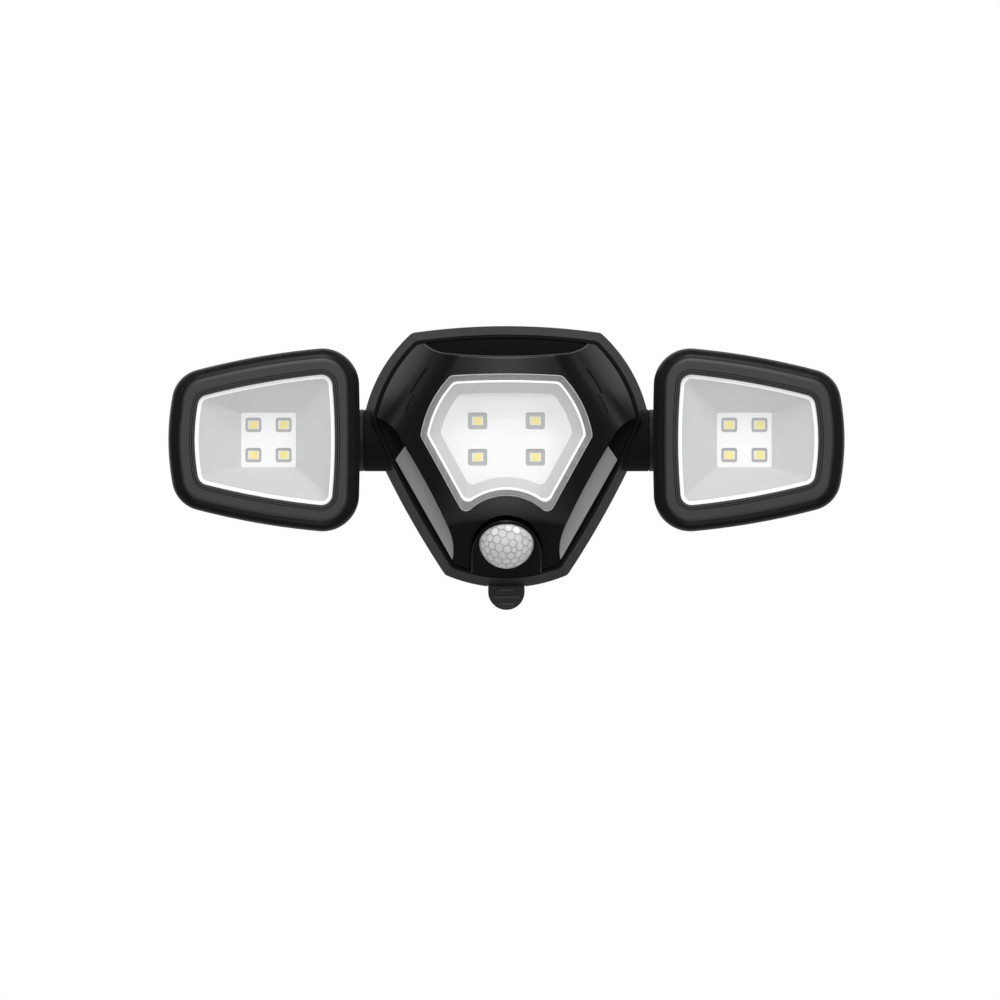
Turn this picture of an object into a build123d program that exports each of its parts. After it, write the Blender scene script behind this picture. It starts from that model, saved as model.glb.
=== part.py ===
# Battery-powered motion sensor security light with three heads, on a wall bracket.
#
# Frame: +X right, +Z up, the light faces -Y, and the wall is the plane Y = 0.
# A depth is a distance out from the wall, so depth 20 is the plane Y = -20.
# X = 0 is the middle of the light and Z = 0 is the height of the swivel arms.

from math import cos, hypot, radians, sin, sqrt, tan
import os

from build123d import *

os.makedirs("parts", exist_ok=True)

# ---------------------------------------------------------------- clearances
slip = 0.15          # sideways play round a piece laid in its pocket
seat_gap = 0.05      # play left where a piece is held front to back
running = 0.05       # radial play of a turning fit
stand_off = 0.3      # room between parts that move past each other

# ------------------------------------------------- body outline, at the wall
top_corner = (43.0, 49.2)
side_corner = (65.3, 8.5)
foot_corner = (28.0, -61.2)
top_rise = 3.1       # how far each side of the outline bows out
upper_rise = 4.0
lower_rise = 1.9
foot_rise = 5.8
outline_round = 3.5
side_draft = 7.6     # degrees that the side wall leans in, towards the front

# ------------------------------------------------------------ body, in depth
skirt_depth = 1.5    # the housing's rear edge stands this far off the wall
back_depth = 7.5     # outside of the back wall, at the bottom of its recess
shell_wall = 2.2
rim_depth = 37.0     # front edge of the rear housing
skirt_round = 1.0

# -------------------------------------------------------------- front cover
lip_width = 1.4      # the housing's rim that shows round the cover
lip_step = 0.35      # the rim is stepped in by this much, this far behind its edge
lip_step_height = 0.6
cover_gap = 0.5      # fine gap that shows between rim and cover
lip_height = 1.6     # the cover's flange lies this deep inside the rim
cover_apex = 60.0    # depth of the cover's foremost line, at X = 0
barrel_radius = 160.0
lobe_slope = 50.0    # degrees; flank of the two upper lobes
foot_slope = 40.0    # degrees; flank of the sensor lobe
crest_round = 0.87 * (cover_apex - rim_depth)
foot_round = 0.52 * (cover_apex - rim_depth)
cover_step = 3.5     # height of the cover's upright edge above the rim
foot_step = 0.4      # the same, under the sensor
cover_wall = 2.2
scoop_depth = 2.0    # the scoops' floor lies this far in front of the rim
brow_round = 1.0     # soft edge along the top scoop
slit_width = 0.6     # two fine slits in each upper lobe
slit_sunk = 1.0
slits = [((35.8, 32.0), (39.4, 27.2), (42.8, 21.2)), ((41.5, 20.4), (43.7, 16.4), (45.4, 12.4))]

# ----------------------------------------------------------------- scoops
top_scoop_low = 37.6
top_scoop_bend = (27.0, 38.9)
top_scoop_tip = (38.6, 45.2)
side_scoop_start = (60.8, 10.4)
side_scoop_bend = (53.2, 7.5)
side_scoop_side = (47.3, 0.0)
side_scoop_middle = (36.5, -18.4)
side_scoop_low = (26.0, -39.5)
side_scoop_turn = (23.9, -47.0)
side_scoop_foot = (24.6, -55.5)

# ------------------------------------------------------------- trim panels
trim_top = (45.6, -2.6)
trim_shoulder = (50.0, -8.8)
trim_foot = (24.6, -53.6)
trim_edge_height = 3.0       # the panel's outer edge stands this far above the floor
trim_slope = 33.0            # degrees; its face climbs towards the lens

# ------------------------------------------------------------- centre lens
lens_top = (25.0, 28.9)
lens_side = (38.7, 1.7)
lens_foot = (18.9, -34.2)
lens_top_rise = 0.8
lens_side_rise = 2.4
lens_arch_radius = 24.3      # the lens goes round the sensor on this arc
lens_round = 3.2
lens_thickness = 2.6
lens_ledge = 2.8             # the lens rests on a ledge this wide
lens_proud = 0.5
lens_edge_round = 0.8
lens_ring = 2.0              # the cover is thicker this far round the lens
lens_ring_back = 51.2        # depth of that thick ring's flat rear
lens_seal_thickness = 0.6
reflector_edge = 0.9         # width of the reflector's white front edge
reflector_floor_in = 8.5     # white floor, in from the lens edge
reflector_wall = 1.2
reflector_knee = 51.0        # depth where its walls turn upright
centre_floor_depth = 45.0    # face of the reflector's floor

# ------------------------------------------------------------------- LEDs
led_size = (5.0, 3.9)
led_height = 0.7
led_round = 0.3
phosphor_size = 3.35
phosphor_height = 0.12
board_thickness = 1.6
centre_led_x = 13.0
centre_led_z = (8.6, -7.75)
centre_window = (8.7, 7.6)
head_window = (7.2, 6.5)
window_round = 1.2
head_led_pitch = 13.6

# ----------------------------------------------------------- motion sensor
sensor_slope = 42.0  # degrees that the sensor and its hood look down
dome_radius = 12.6
dome_wall = 0.8
dome_sink = 2.4      # the dome's centre lies this far behind the hood's face
dome_height = -47.0  # height of the middle of the dome's opening
dome_flange = 1.0
dome_flange_height = 1.0
hood_half = 15.75
hood_top = -36.0
hood_inset = 5.3     # the hood's foot, in from the body's outline
hood_gap = 1.9       # open crescent over the hood
hood_side_gap = 0.3
hood_foot_step = 1.1 # thickness of the hood's foot over the rim
hood_wall = 2.0
hood_edge_round = 0.6
hood_crown = 0.8     # thickness left between the dome and the hood's top
pir_can_radius = 4.6
pir_can_height = 4.2
pir_flange_radius = 5.1
pir_flange_height = 0.5
pir_window = (4.0, 3.0)
pir_window_height = 0.2
pir_back = -2.6      # the sensor board's face, behind the dome's centre
sensor_board_size = (14.6, 12.0)
sensor_board_drop = 2.2      # the board hangs this far below the sensor's axis
sensor_hole_radius = 10.5
photocell_radius = 1.5
photocell_height = 2.2
photocell_place = (5.3, -4.4)

# ------------------------------------------------------------- arms, heads
arm_depth = 20.0     # depth of the arms' axis
arm_radius = 14.0
boss_end = 64.2      # the housing's fixed boss ends here, and the arm begins
arm_end = 77.0
arm_bore = 3.5       # radius of the way for the head's leads
journal_radius = 7.5
journal_end = 45.4
boss_start = 49.8
ring_radius = 10.0   # retaining ring behind the boss
ring_thickness = 2.6
washer_thickness = 0.8
oring_section = 0.9  # radius of its round section
oring_place = 57.0
swing_place = 92.0   # X of the upright axis that a head swings on
knuckle_radius = 10.5
knuckle_half = 7.2
neck_half = 7.0
arm_edge_round = 0.8
ear_thickness = 5.0
ear_gap = 0.1
pin_radius = 2.5
pin_head_radius = 4.4
pin_head_height = 2.2
lead_hole = 2.4      # radius of the holes that the head's leads leave and enter by
lead_entry = 79.0    # X of the hole in the head

head_inner = (66.8, 42.2)    # corner nearest the body
head_outer = (147.9, 29.0)
head_inner_rise = 0.9
head_outer_rise = 4.0
head_top_rise = 2.5
head_inner_round = 16.5
head_outer_round = 15.0
head_front = 58.0
head_seam = 45.0     # depth where frame and rear shell meet
head_back = 37.2     # flat back of the rear shell
head_back_in = 9.0   # the flat back is this much smaller all round
head_wall = 2.0
head_roll = 6.0      # radius of the frame's rolled outer edge
head_lens_inner = (78.6, 29.7)
head_lens_outer = (137.9, 19.3)
head_lens_inner_rise = 1.6
head_lens_outer_rise = 2.05
head_lens_top_rise = 1.3
head_lens_round = 5.0
head_lens_thickness = 2.0
head_lens_sunk = 1.0
head_lens_flange = 2.6
frame_grooves = (1.5, 2.4)   # two fine grooves on the frame, this far outside the opening
frame_groove_width = 0.35
frame_bevel = 0.9
head_rim = 1.7       # white edge of a head's reflector
head_plate = 24.6
head_plate_x = 107.1
head_plate_round = 1.0
head_floor_depth = 43.6
head_lens_step = 1.2         # the lens's flange lies this far behind its face
head_frame_pocket = 3.0
head_boss_height = 6.0
head_screw_near = (79.5, 28.5)
head_screw_far = (137.2, 18.6)
head_screw_sunk = 2.0
head_screw_length = 11.0
least_round = 0.8

# ------------------------------------------------- battery case and bracket
cell_radius = 13.1
cell_length = 50.0
cell_gap = 0.5
cell_count = 3
contact_room = 4.5   # room at each end of a cell for its contact
tray_wall = 1.8
tray_round = 4.0
tray_center = 8.0    # height of the middle of the battery case
door_lap = 4.0       # the door covers this much of the back wall all round
door_thickness = 2.4
door_round = 4.0
seal_width = 1.6
seal_height = 1.0
screw_radius = 1.5
screw_head_radius = 2.8
screw_head_height = 1.8
screw_length = 9.0   # into the front cover
pillar_radius = 3.2
pillars = [(47.4, 23.4), (-47.4, 23.4), (21.5, -47.0), (-21.5, -47.0)]
boss_radius = 3.0    # the cover's bosses, over the pillars
cross_width = 0.7
cross_depth = 1.0
door_screw_length = 8.0
door_ear_x = 18.0
door_ear_out = 1.2
door_ear_radius = 4.0
cell_button_radius = 3.6
cell_button_height = 1.6
contact_plate_size = (13.0, 11.0)
contact_plate_thickness = 0.5
contact_tab_radius = 4.5
contact_tab_taper = 15.0
battery_wire = 0.4
battery_coil_radius = 4.6
battery_coil_turns = 2.5

board_depth = 14.5
board_top = -31.5
board_half = 30.0
board_width = 11.5
post_x = 26.0
post_radius = 2.4
capacitor_places = (-21.0, -10.5)
capacitor_radius = 4.0
capacitor_height = 12.0
switch_x = 10.0
switch_length = 12.0
switch_width = 5.6
switch_throw = 2.0
slider_length = 4.4
slider_width = 3.0
slider_depth = 2.0
lever_length = 2.2
lever_width = 2.2
lever_proud = 1.4

bracket_thickness = 2.5
bracket_size = (64.0, 94.0)
bracket_center = 0.0
bracket_round = 8.0
bracket_window = (30.0, 12.0)
wall_hole_radius = 2.2
wall_hole_pitch = (44.0, 52.0)
wall_hole_spots = [
    (x * wall_hole_pitch[0] / 2, z * wall_hole_pitch[1] / 2) for x in (1, -1) for z in (1, -1)
]
hook_x = 28.0
hook_width = 8.0
hook_foot = 42.6
hook_height = 2.2
hook_lip = 1.8
latch_radius = 8.3
latch_foot = -77.0
latch_top = -46.0
latch_thickness = 3.0
latch_bridge = 1.6
tongue_half = 6.0
tongue_height = 4.0
tongue_thickness = 1.5
window_foot = -60.5
window_half = 2.6
peg_height = 1.6
latch_wire = 0.3
latch_coil_radius = 1.0
latch_coil_turns = 7
ridges = [(-0.8, 7.0), (2.5, 11.6), (5.6, 7.0)]      # how far down, and how long
ridge_width = 1.1
ridge_height = 0.7
bar_up = 1.0
bar_height = 2.6
bar_thickness = 1.6
rail_width = 1.8
rail_lip = 1.6
rail_span = (-62.0, -49.5)


# ------------------------------------------------------------------ helpers
def front_plane(depth):
    """The plane at this depth, facing the viewer: local X is X, local Y is Z."""
    return Plane(origin=(0, -depth, 0), x_dir=(1, 0, 0), z_dir=(0, -1, 0))


def bowed_point(start, end, rise):
    """The middle of an arc from start to end that bows out to the left by rise."""
    span = hypot(end[0] - start[0], end[1] - start[1])
    normal = ((start[1] - end[1]) / span, (end[0] - start[0]) / span)
    middle = ((start[0] + end[0]) / 2, (start[1] + end[1]) / 2)
    return (middle[0] + normal[0] * rise, middle[1] + normal[1] * rise)


def bowed_outline(corners, rises):
    """A closed outline, clockwise, of sides that bow out between sharp corners."""
    with BuildSketch() as result:
        with BuildLine():
            for number, start in enumerate(corners):
                end = corners[(number + 1) % len(corners)]
                if rises[number] == 0:
                    Line(start, end)
                else:
                    ThreePointArc(start, bowed_point(start, end, rises[number]), end)
        make_face()
    return result.sketch


def grown(sketch, amount, rounding):
    """The sketch with its corners rounded and its edge moved out by amount, or in."""
    with BuildSketch() as result:
        add(sketch)
        if amount < 0:
            offset(amount=amount, kind=Kind.INTERSECTION)
        fillet(result.vertices(), rounding)
        if amount > 0:
            offset(amount=amount, kind=Kind.ARC)
    return result.sketch


def body_outline(inset):
    """The light's body seen from the front, moved in by inset from its widest."""
    corners = [
        (-top_corner[0], top_corner[1]),
        top_corner,
        side_corner,
        foot_corner,
        (-foot_corner[0], foot_corner[1]),
        (-side_corner[0], side_corner[1]),
    ]
    rises = [top_rise, upper_rise, lower_rise, foot_rise, lower_rise, upper_rise]
    return grown(bowed_outline(corners, rises), -inset, outline_round)


def side_inset(depth):
    """How far the drafted side wall has moved in at this depth."""
    return (depth - skirt_depth) * tan(radians(side_draft))


def write(piece, name):
    """Label a finished piece and write its file."""
    piece.label = name
    export_step(piece, f"parts/{name}.step")


def write_pair(piece, name):
    """Write a piece of the right-hand side, and its mirror image on the left."""
    write(piece, f"right_{name}")
    write(mirror(piece, about=Plane.YZ), f"left_{name}")


# ----------------------------------------------------------------- rear housing
# A drafted shell: a recess at the back for the bracket and the battery door, a
# battery case that opens into it, a boss for each arm and a pillar per screw.
tray_width = cell_count * 2 * cell_radius + (cell_count + 1) * cell_gap
tray_height = cell_length + 2 * contact_room
tray_start = back_depth
tray_end = tray_start + 2 * cell_radius + 2 * cell_gap
tray_place = Location((0, tray_center))
cover_back = rim_depth - lip_height
notch_half = latch_radius + stand_off
latch_back = bracket_thickness + stand_off
latch_front = latch_back + latch_thickness
board_row = board_top - board_width / 2
door_screw_spots = [
    (side * door_ear_x, tray_center + end * (tray_height / 2 + door_lap + door_ear_out))
    for side in (1, -1)
    for end in (1, -1)
]
ledge_inset = side_inset(rim_depth) + lip_width
ledge_width = 4.2
seal_inset = ledge_inset + (ledge_width - seal_width) / 2


def drafted(start, extra_inset, end):
    """The body between two depths, its sides drafted and moved in by extra_inset."""
    with BuildPart() as block:
        for depth in (start, end):
            with BuildSketch(front_plane(depth)):
                add(body_outline(side_inset(depth) + extra_inset))
        loft(ruled=True)
    return block.part


with BuildPart() as rear_housing:
    add(drafted(skirt_depth, 0, rim_depth))
    fillet(rear_housing.faces().sort_by(Axis.Y)[-1].edges(), skirt_round)
    # step round the outside of the rim
    with BuildSketch(front_plane(rim_depth - lip_step_height)):
        add(body_outline(0))
        add(body_outline(side_inset(rim_depth) + lip_step), mode=Mode.SUBTRACT)
    extrude(amount=lip_step_height, mode=Mode.SUBTRACT)
    add(drafted(skirt_depth, shell_wall, back_depth), mode=Mode.SUBTRACT)
    add(drafted(back_depth + shell_wall, shell_wall, rim_depth), mode=Mode.SUBTRACT)
    # ledge that carries the cover, with a groove for its seal, inside the rim
    with BuildSketch(front_plane(cover_back - 2 * seal_height)):
        add(body_outline(side_inset(rim_depth) + lip_width / 2))
        add(body_outline(ledge_inset + ledge_width), mode=Mode.SUBTRACT)
    extrude(amount=2 * seal_height)
    with BuildSketch(front_plane(cover_back)):
        add(body_outline(ledge_inset))
    extrude(amount=lip_height, mode=Mode.SUBTRACT)
    # battery case
    with BuildSketch(front_plane(back_depth)):
        with Locations(tray_place):
            RectangleRounded(
                tray_width + 2 * tray_wall, tray_height + 2 * tray_wall, tray_round + tray_wall
            )
    extrude(amount=tray_end - back_depth + tray_wall)
    with BuildSketch(front_plane(tray_start)):
        with Locations(tray_place):
            RectangleRounded(tray_width, tray_height, tray_round)
    extrude(amount=tray_end - tray_start, mode=Mode.SUBTRACT)
    # bosses of the arms
    for side in (1, -1):
        boss_plane = Plane(origin=(side * boss_start, -arm_depth, 0), z_dir=(side, 0, 0))
        with BuildSketch(boss_plane):
            Circle(arm_radius)
        extrude(amount=boss_end - boss_start)
        with BuildSketch(boss_plane):
            Circle(journal_radius + running)
        extrude(amount=boss_end - boss_start, mode=Mode.SUBTRACT)
    # screw pillars
    with BuildSketch(front_plane(back_depth)):
        with Locations(*pillars):
            Circle(pillar_radius)
    extrude(amount=cover_back - back_depth)
    with BuildSketch(front_plane(back_depth)):
        with Locations(*pillars):
            Circle(screw_radius + slip)
    extrude(amount=cover_back - back_depth, mode=Mode.SUBTRACT)
    with BuildSketch(front_plane(cover_back - seal_height)):
        add(body_outline(seal_inset))
        add(body_outline(seal_inset + seal_width), mode=Mode.SUBTRACT)
    extrude(amount=seal_height, mode=Mode.SUBTRACT)
    # pillars of the battery door's screws, and posts of the control board
    with BuildSketch(front_plane(back_depth)):
        with Locations(*door_screw_spots):
            Circle(pillar_radius)
    extrude(amount=door_screw_length)
    with BuildSketch(front_plane(back_depth)):
        with Locations(*door_screw_spots):
            Circle(screw_radius)
    extrude(amount=door_screw_length, mode=Mode.SUBTRACT)
    with BuildSketch(front_plane(back_depth)):
        with Locations((post_x, board_row), (-post_x, board_row)):
            Circle(post_radius)
    extrude(amount=board_depth - back_depth)
    # slots of the bracket's hooks, and of the mode switch's lever
    with BuildSketch(front_plane(back_depth)):
        with Locations(*[(side * hook_x, hook_foot + hook_height + seat_gap) for side in (1, -1)]):
            Rectangle(
                hook_width + 4 * stand_off,
                hook_height + hook_lip + 2 * stand_off,
                align=(Align.CENTER, Align.MAX),
            )
        with Locations((switch_x, board_row)):
            Rectangle(lever_length + 2 * switch_throw + 2 * stand_off, lever_width + 2 * stand_off)
    extrude(amount=shell_wall, mode=Mode.SUBTRACT)
    # pad and rails that guide the release latch, and the peg under its spring
    with BuildSketch(front_plane(back_depth)):
        with Locations((0, rail_span[0])):
            Rectangle(2 * notch_half, rail_span[1] - rail_span[0], align=(Align.CENTER, Align.MIN))
    extrude(amount=-(back_depth - latch_front - stand_off))
    for side in (1, -1):
        with BuildSketch(front_plane(back_depth)):
            with Locations((side * (latch_radius + stand_off), rail_span[0])):
                Rectangle(
                    rail_width,
                    rail_span[1] - rail_span[0],
                    align=(Align.MIN if side == 1 else Align.MAX, Align.MIN),
                )
        extrude(amount=-(back_depth - latch_back + stand_off + seat_gap))
        with BuildSketch(front_plane(latch_back - stand_off)):
            with Locations((side * (latch_radius + stand_off + rail_width), rail_span[0])):
                Rectangle(
                    rail_width + rail_lip,
                    rail_span[1] - rail_span[0],
                    align=(Align.MAX if side == 1 else Align.MIN, Align.MIN),
                )
        extrude(amount=-rail_lip / 2)
    with BuildSketch(front_plane(back_depth)):
        with Locations((0, window_foot + stand_off)):
            Rectangle(2 * (window_half - stand_off), peg_height, align=(Align.CENTER, Align.MIN))
    extrude(amount=-(back_depth - latch_back - stand_off))
    # notch in the skirt for the release latch
    with BuildSketch(front_plane(0)):
        with Locations((0, foot_corner[1])):
            Rectangle(2 * notch_half, 4 * foot_rise)
    extrude(amount=latch_back + latch_thickness + stand_off, mode=Mode.SUBTRACT)
write(rear_housing.part, "rear_housing")

# ------------------------------------------------------------------ front cover
# A raised hexagon whose front is a gentle barrel. It keeps three lobes that fall
# to the rim, between three scoops cut straight down to a floor.
cover_inset = ledge_inset + cover_gap
floor_depth = rim_depth + scoop_depth
hood_back = rim_depth + 2 * seat_gap
upper_span = hypot(side_corner[0] - top_corner[0], top_corner[1] - side_corner[1])
upper_out = (
    (top_corner[1] - side_corner[1]) / upper_span,
    (side_corner[0] - top_corner[0]) / upper_span,
)
upper_middle = bowed_point(top_corner, side_corner, upper_rise)
foot_middle = bowed_point(foot_corner, (-foot_corner[0], foot_corner[1]), foot_rise)


def flank(out, middle, inset, depth, slope, skin):
    """The room outside a flat flank that climbs inwards from the body's edge."""
    outward = Vector(out[0], 0, out[1])
    forward = Vector(0, -1, 0)
    normal = outward * sin(radians(slope)) + forward * cos(radians(slope))
    edge = Vector(middle[0], -depth, middle[1]) - outward * inset - normal * skin
    with BuildPart() as room:
        with BuildSketch(Plane(origin=edge, z_dir=normal)):
            Rectangle(4 * side_corner[0], 4 * side_corner[0])
        extrude(amount=cover_apex)
    return room.part


def scoops(skin):
    """The three scoops seen from the front, grown by skin."""
    with BuildSketch() as cuts:
        for side in (1, -1):
            with BuildLine():
                ThreePointArc(side_scoop_start, side_scoop_bend, side_scoop_side)
                ThreePointArc(side_scoop_side, side_scoop_middle, side_scoop_low)
                ThreePointArc(side_scoop_low, side_scoop_turn, side_scoop_foot)
                Polyline(
                    side_scoop_foot,
                    (side_scoop_foot[0], -side_corner[0] * 1.5),
                    (side_corner[0] * 1.5, -side_corner[0] * 1.5),
                    (side_corner[0] * 1.5, side_scoop_start[1]),
                    side_scoop_start,
                )
            make_face()
        mirror(about=Plane.YZ)
        with BuildLine():
            lower = ThreePointArc(
                (-top_scoop_bend[0], top_scoop_bend[1]), (0, top_scoop_low), top_scoop_bend
            )
            TangentArc(lower @ 1, top_scoop_tip, tangent=lower % 1)
            TangentArc(
                lower @ 0, (-top_scoop_tip[0], top_scoop_tip[1]), tangent=-(lower % 0)
            )
            Polyline(
                top_scoop_tip,
                (top_scoop_tip[0], 2 * top_corner[1]),
                (-top_scoop_tip[0], 2 * top_corner[1]),
                (-top_scoop_tip[0], top_scoop_tip[1]),
            )
        make_face()
        if skin != 0:
            offset(amount=skin, kind=Kind.INTERSECTION)
    return cuts.sketch


def hood_arch(growth, gap):
    """The hood seen from the front: upright sides under a half circle."""
    with BuildSketch() as arch:
        shoulder = hood_top - hood_half
        with Locations((0, shoulder)):
            Circle(hood_half + growth)
        with Locations((0, shoulder + gap)):
            Circle(hood_half + growth)
        with Locations((0, shoulder + gap)):
            Rectangle(2 * (hood_half + growth), 2 * hood_half, align=(Align.CENTER, Align.MAX))
    return arch.sketch


def lens_outline(inset):
    """The centre lens seen from the front, its edge moved in by inset."""
    corners = [
        (-lens_top[0], lens_top[1]),
        lens_top,
        lens_side,
        lens_foot,
        (-lens_foot[0], lens_foot[1]),
        (-lens_side[0], lens_side[1]),
    ]
    arch_rise = lens_arch_radius - sqrt(lens_arch_radius**2 - lens_foot[0] ** 2)
    rises = [lens_top_rise, lens_side_rise, 0, -arch_rise, 0, lens_side_rise]
    return grown(bowed_outline(corners, rises), -inset, lens_round)


def prism(sketch, start, end):
    """The sketch drawn out between two depths."""
    with BuildPart() as block:
        with BuildSketch(front_plane(start)):
            add(sketch)
        extrude(amount=end - start)
    return block.part


def barrel(skin):
    """All that lies behind the cover's barrel front, moved in by skin."""
    with BuildPart() as drum:
        with BuildSketch(Plane.XY.offset(-2 * side_corner[0])):
            with Locations((0, barrel_radius - cover_apex)):
                Circle(barrel_radius - skin)
        extrude(amount=4 * side_corner[0])
    return drum.part


def behind_face(depth, height, slope, lift):
    """All that lies behind a plane that looks down by slope, moved out by lift."""
    normal = Vector(0, -cos(radians(slope)), -sin(radians(slope)))
    with BuildPart() as room:
        with BuildSketch(Plane(origin=Vector(0, -depth, height) + normal * lift, z_dir=-normal)):
            Rectangle(4 * side_corner[0], 4 * side_corner[0])
        extrude(amount=2 * cover_apex)
    return room.part


def cover_form(skin):
    """The cover's solid form, with its outside moved in by skin."""
    with BuildPart() as form:
        with BuildSketch(front_plane(cover_back - skin)):
            add(body_outline(cover_inset + skin))
        extrude(amount=cover_apex - cover_back + 2 * skin)
        add(barrel(skin), mode=Mode.INTERSECT)
        for side in (1, -1):
            out = (side * upper_out[0], upper_out[1])
            middle = (side * upper_middle[0], upper_middle[1])
            depth = rim_depth + cover_step
            add(flank(out, middle, cover_inset, depth, lobe_slope, skin), mode=Mode.SUBTRACT)
        depth = rim_depth + foot_step
        foot = flank((0, -1), foot_middle, cover_inset, depth, foot_slope, skin)
        add(foot, mode=Mode.SUBTRACT)
    return form.part


hood_depth = hood_back + hood_foot_step     # depth of the hood's face at its foot
hood_face = (hood_depth, foot_middle[1] + hood_inset)


def rounded_cover():
    """The cover's outside, solid, with soft crests above its flanks."""
    with BuildPart() as form:
        add(cover_form(0))
        crests = form.faces().sort_by(Axis.Y)[0].edges()
        upper = crests.filter_by(lambda edge: edge.center().Z > 0 and abs(edge.center().X) > 20)
        fillet(upper, crest_round)
        lower = form.faces().sort_by(Axis.Y)[0].edges().sort_by(Axis.Z)[0]
        fillet(lower, foot_round)
    return form.part


def is_brow(edge):
    """Whether an edge lies along the top scoop, on the cover's barrel front."""
    middle = edge.position_at(0.5)
    return middle.Z > top_scoop_low - brow_round and -middle.Y > cover_apex - 4 * brow_round


outside = rounded_cover()
with BuildPart() as cover_inside:
    add(cover_form(cover_wall))
    add(prism(scoops(cover_wall), floor_depth - cover_wall, 2 * cover_apex), mode=Mode.SUBTRACT)
    add(prism(lens_outline(-lens_ring), lens_ring_back, 2 * cover_apex), mode=Mode.SUBTRACT)
    hood_well = hood_arch(hood_side_gap + hood_wall, hood_gap)
    add(prism(hood_well, cover_back, 2 * cover_apex), mode=Mode.SUBTRACT)

with BuildPart() as front_cover:
    add(outside)
    add(cover_inside.part, mode=Mode.SUBTRACT)
    # bosses that take the screws from the back
    with BuildPart(mode=Mode.PRIVATE) as bosses:
        with BuildSketch(front_plane(cover_back)):
            with Locations(*pillars):
                Circle(boss_radius)
        extrude(amount=2 * screw_length)
        add(cover_form(cover_wall / 2), mode=Mode.INTERSECT)
    add(bosses.part)
    # scoops
    add(prism(scoops(0), floor_depth, 2 * cover_apex), mode=Mode.SUBTRACT)
    fillet(front_cover.edges().filter_by(is_brow), brow_round)
    # slits, which follow the lobes' surface
    with BuildPart(mode=Mode.PRIVATE) as slit_cuts:
        with BuildSketch(front_plane(floor_depth)):
            with BuildLine() as slit_lines:
                for start, middle, end in slits:
                    ThreePointArc(start, middle, end)
            for line in slit_lines.edges():
                SlotArc(line, slit_width)
            mirror(about=Plane.YZ)
        extrude(amount=cover_apex)
        add(cover_form(slit_sunk), mode=Mode.SUBTRACT)
    add(slit_cuts.part, mode=Mode.SUBTRACT)
    # opening and ledge of the lens
    add(prism(lens_outline(lens_ledge), cover_back, 2 * cover_apex), mode=Mode.SUBTRACT)
    with BuildPart(mode=Mode.PRIVATE) as lens_well:
        add(prism(lens_outline(-slip), lens_ring_back, 2 * cover_apex))
        add(barrel(lens_thickness + lens_seal_thickness - lens_proud), mode=Mode.SUBTRACT)
    add(lens_well.part, mode=Mode.SUBTRACT)
    # well of the sensor's hood
    add(prism(hood_arch(hood_side_gap, hood_gap), hood_back, 2 * cover_apex), mode=Mode.SUBTRACT)
    with BuildSketch(front_plane(cover_back)):
        with Locations((0, dome_height)):
            Circle(sensor_hole_radius)
    extrude(amount=cover_apex, mode=Mode.SUBTRACT)
    # pilot holes
    with BuildSketch(front_plane(cover_back)):
        with Locations(*pillars):
            Circle(screw_radius)
    extrude(amount=screw_length, mode=Mode.SUBTRACT)
write(front_cover.part, "front_cover")

# Sealing strip in the groove under the cover's flange.
with BuildPart() as cover_seal:
    with BuildSketch(front_plane(cover_back - seal_height)):
        add(body_outline(seal_inset + slip))
        add(body_outline(seal_inset + seal_width - slip), mode=Mode.SUBTRACT)
    extrude(amount=seal_height - seat_gap)
write(cover_seal.part, "cover_seal")

# --------------------------------------------------------------- trim panels
# A satin panel stands in each lower scoop, against its wall. Its face is one flat
# facet that climbs from a straight outer edge towards the lens.
trim_span = hypot(trim_shoulder[0] - trim_foot[0], trim_shoulder[1] - trim_foot[1])
trim_out = (
    (trim_shoulder[1] - trim_foot[1]) / trim_span,
    (trim_foot[0] - trim_shoulder[0]) / trim_span,
)
with BuildPart() as trim_panel:
    with BuildSketch(front_plane(floor_depth)):
        with BuildLine():
            Line(trim_top, trim_shoulder)
            Line(trim_shoulder, trim_foot)
            Line(trim_foot, (0, trim_foot[1]))
            Line((0, trim_foot[1]), (0, trim_top[1]))
            Line((0, trim_top[1]), trim_top)
        make_face()
        with BuildSketch(mode=Mode.PRIVATE) as room:
            with Locations((trim_out[0] * slip, trim_out[1] * slip)):
                add(scoops(0))
        add(room.sketch, mode=Mode.INTERSECT)
    extrude(amount=cover_apex - floor_depth)
    facet = flank(trim_out, trim_shoulder, 0, floor_depth + trim_edge_height, trim_slope, 0)
    add(facet, mode=Mode.SUBTRACT)
write_pair(trim_panel.part, "trim_panel")

# ---------------------------------------------------------------- centre lamp
# The lens follows the cover's barrel. Its seal lies under it, on the ledge, and
# the white reflector hangs behind it from a flange under the ledge's ring.
lens_back_skin = lens_thickness - lens_proud
with BuildPart() as centre_lens:
    add(prism(lens_outline(0), lens_ring_back, 2 * cover_apex))
    add(barrel(lens_back_skin), mode=Mode.SUBTRACT)
    add(barrel(-lens_proud), mode=Mode.INTERSECT)
    fillet(centre_lens.faces().sort_by(Axis.Y)[0].edges(), lens_edge_round)
write(centre_lens.part, "centre_lens")

with BuildPart() as centre_lens_seal:
    add(prism(lens_outline(slip), lens_ring_back, 2 * cover_apex))
    add(prism(lens_outline(lens_ledge), lens_ring_back, 2 * cover_apex), mode=Mode.SUBTRACT)
    add(barrel(lens_back_skin + lens_seal_thickness), mode=Mode.SUBTRACT)
    add(barrel(lens_back_skin), mode=Mode.INTERSECT)
write(centre_lens_seal.part, "centre_lens_seal")

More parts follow.
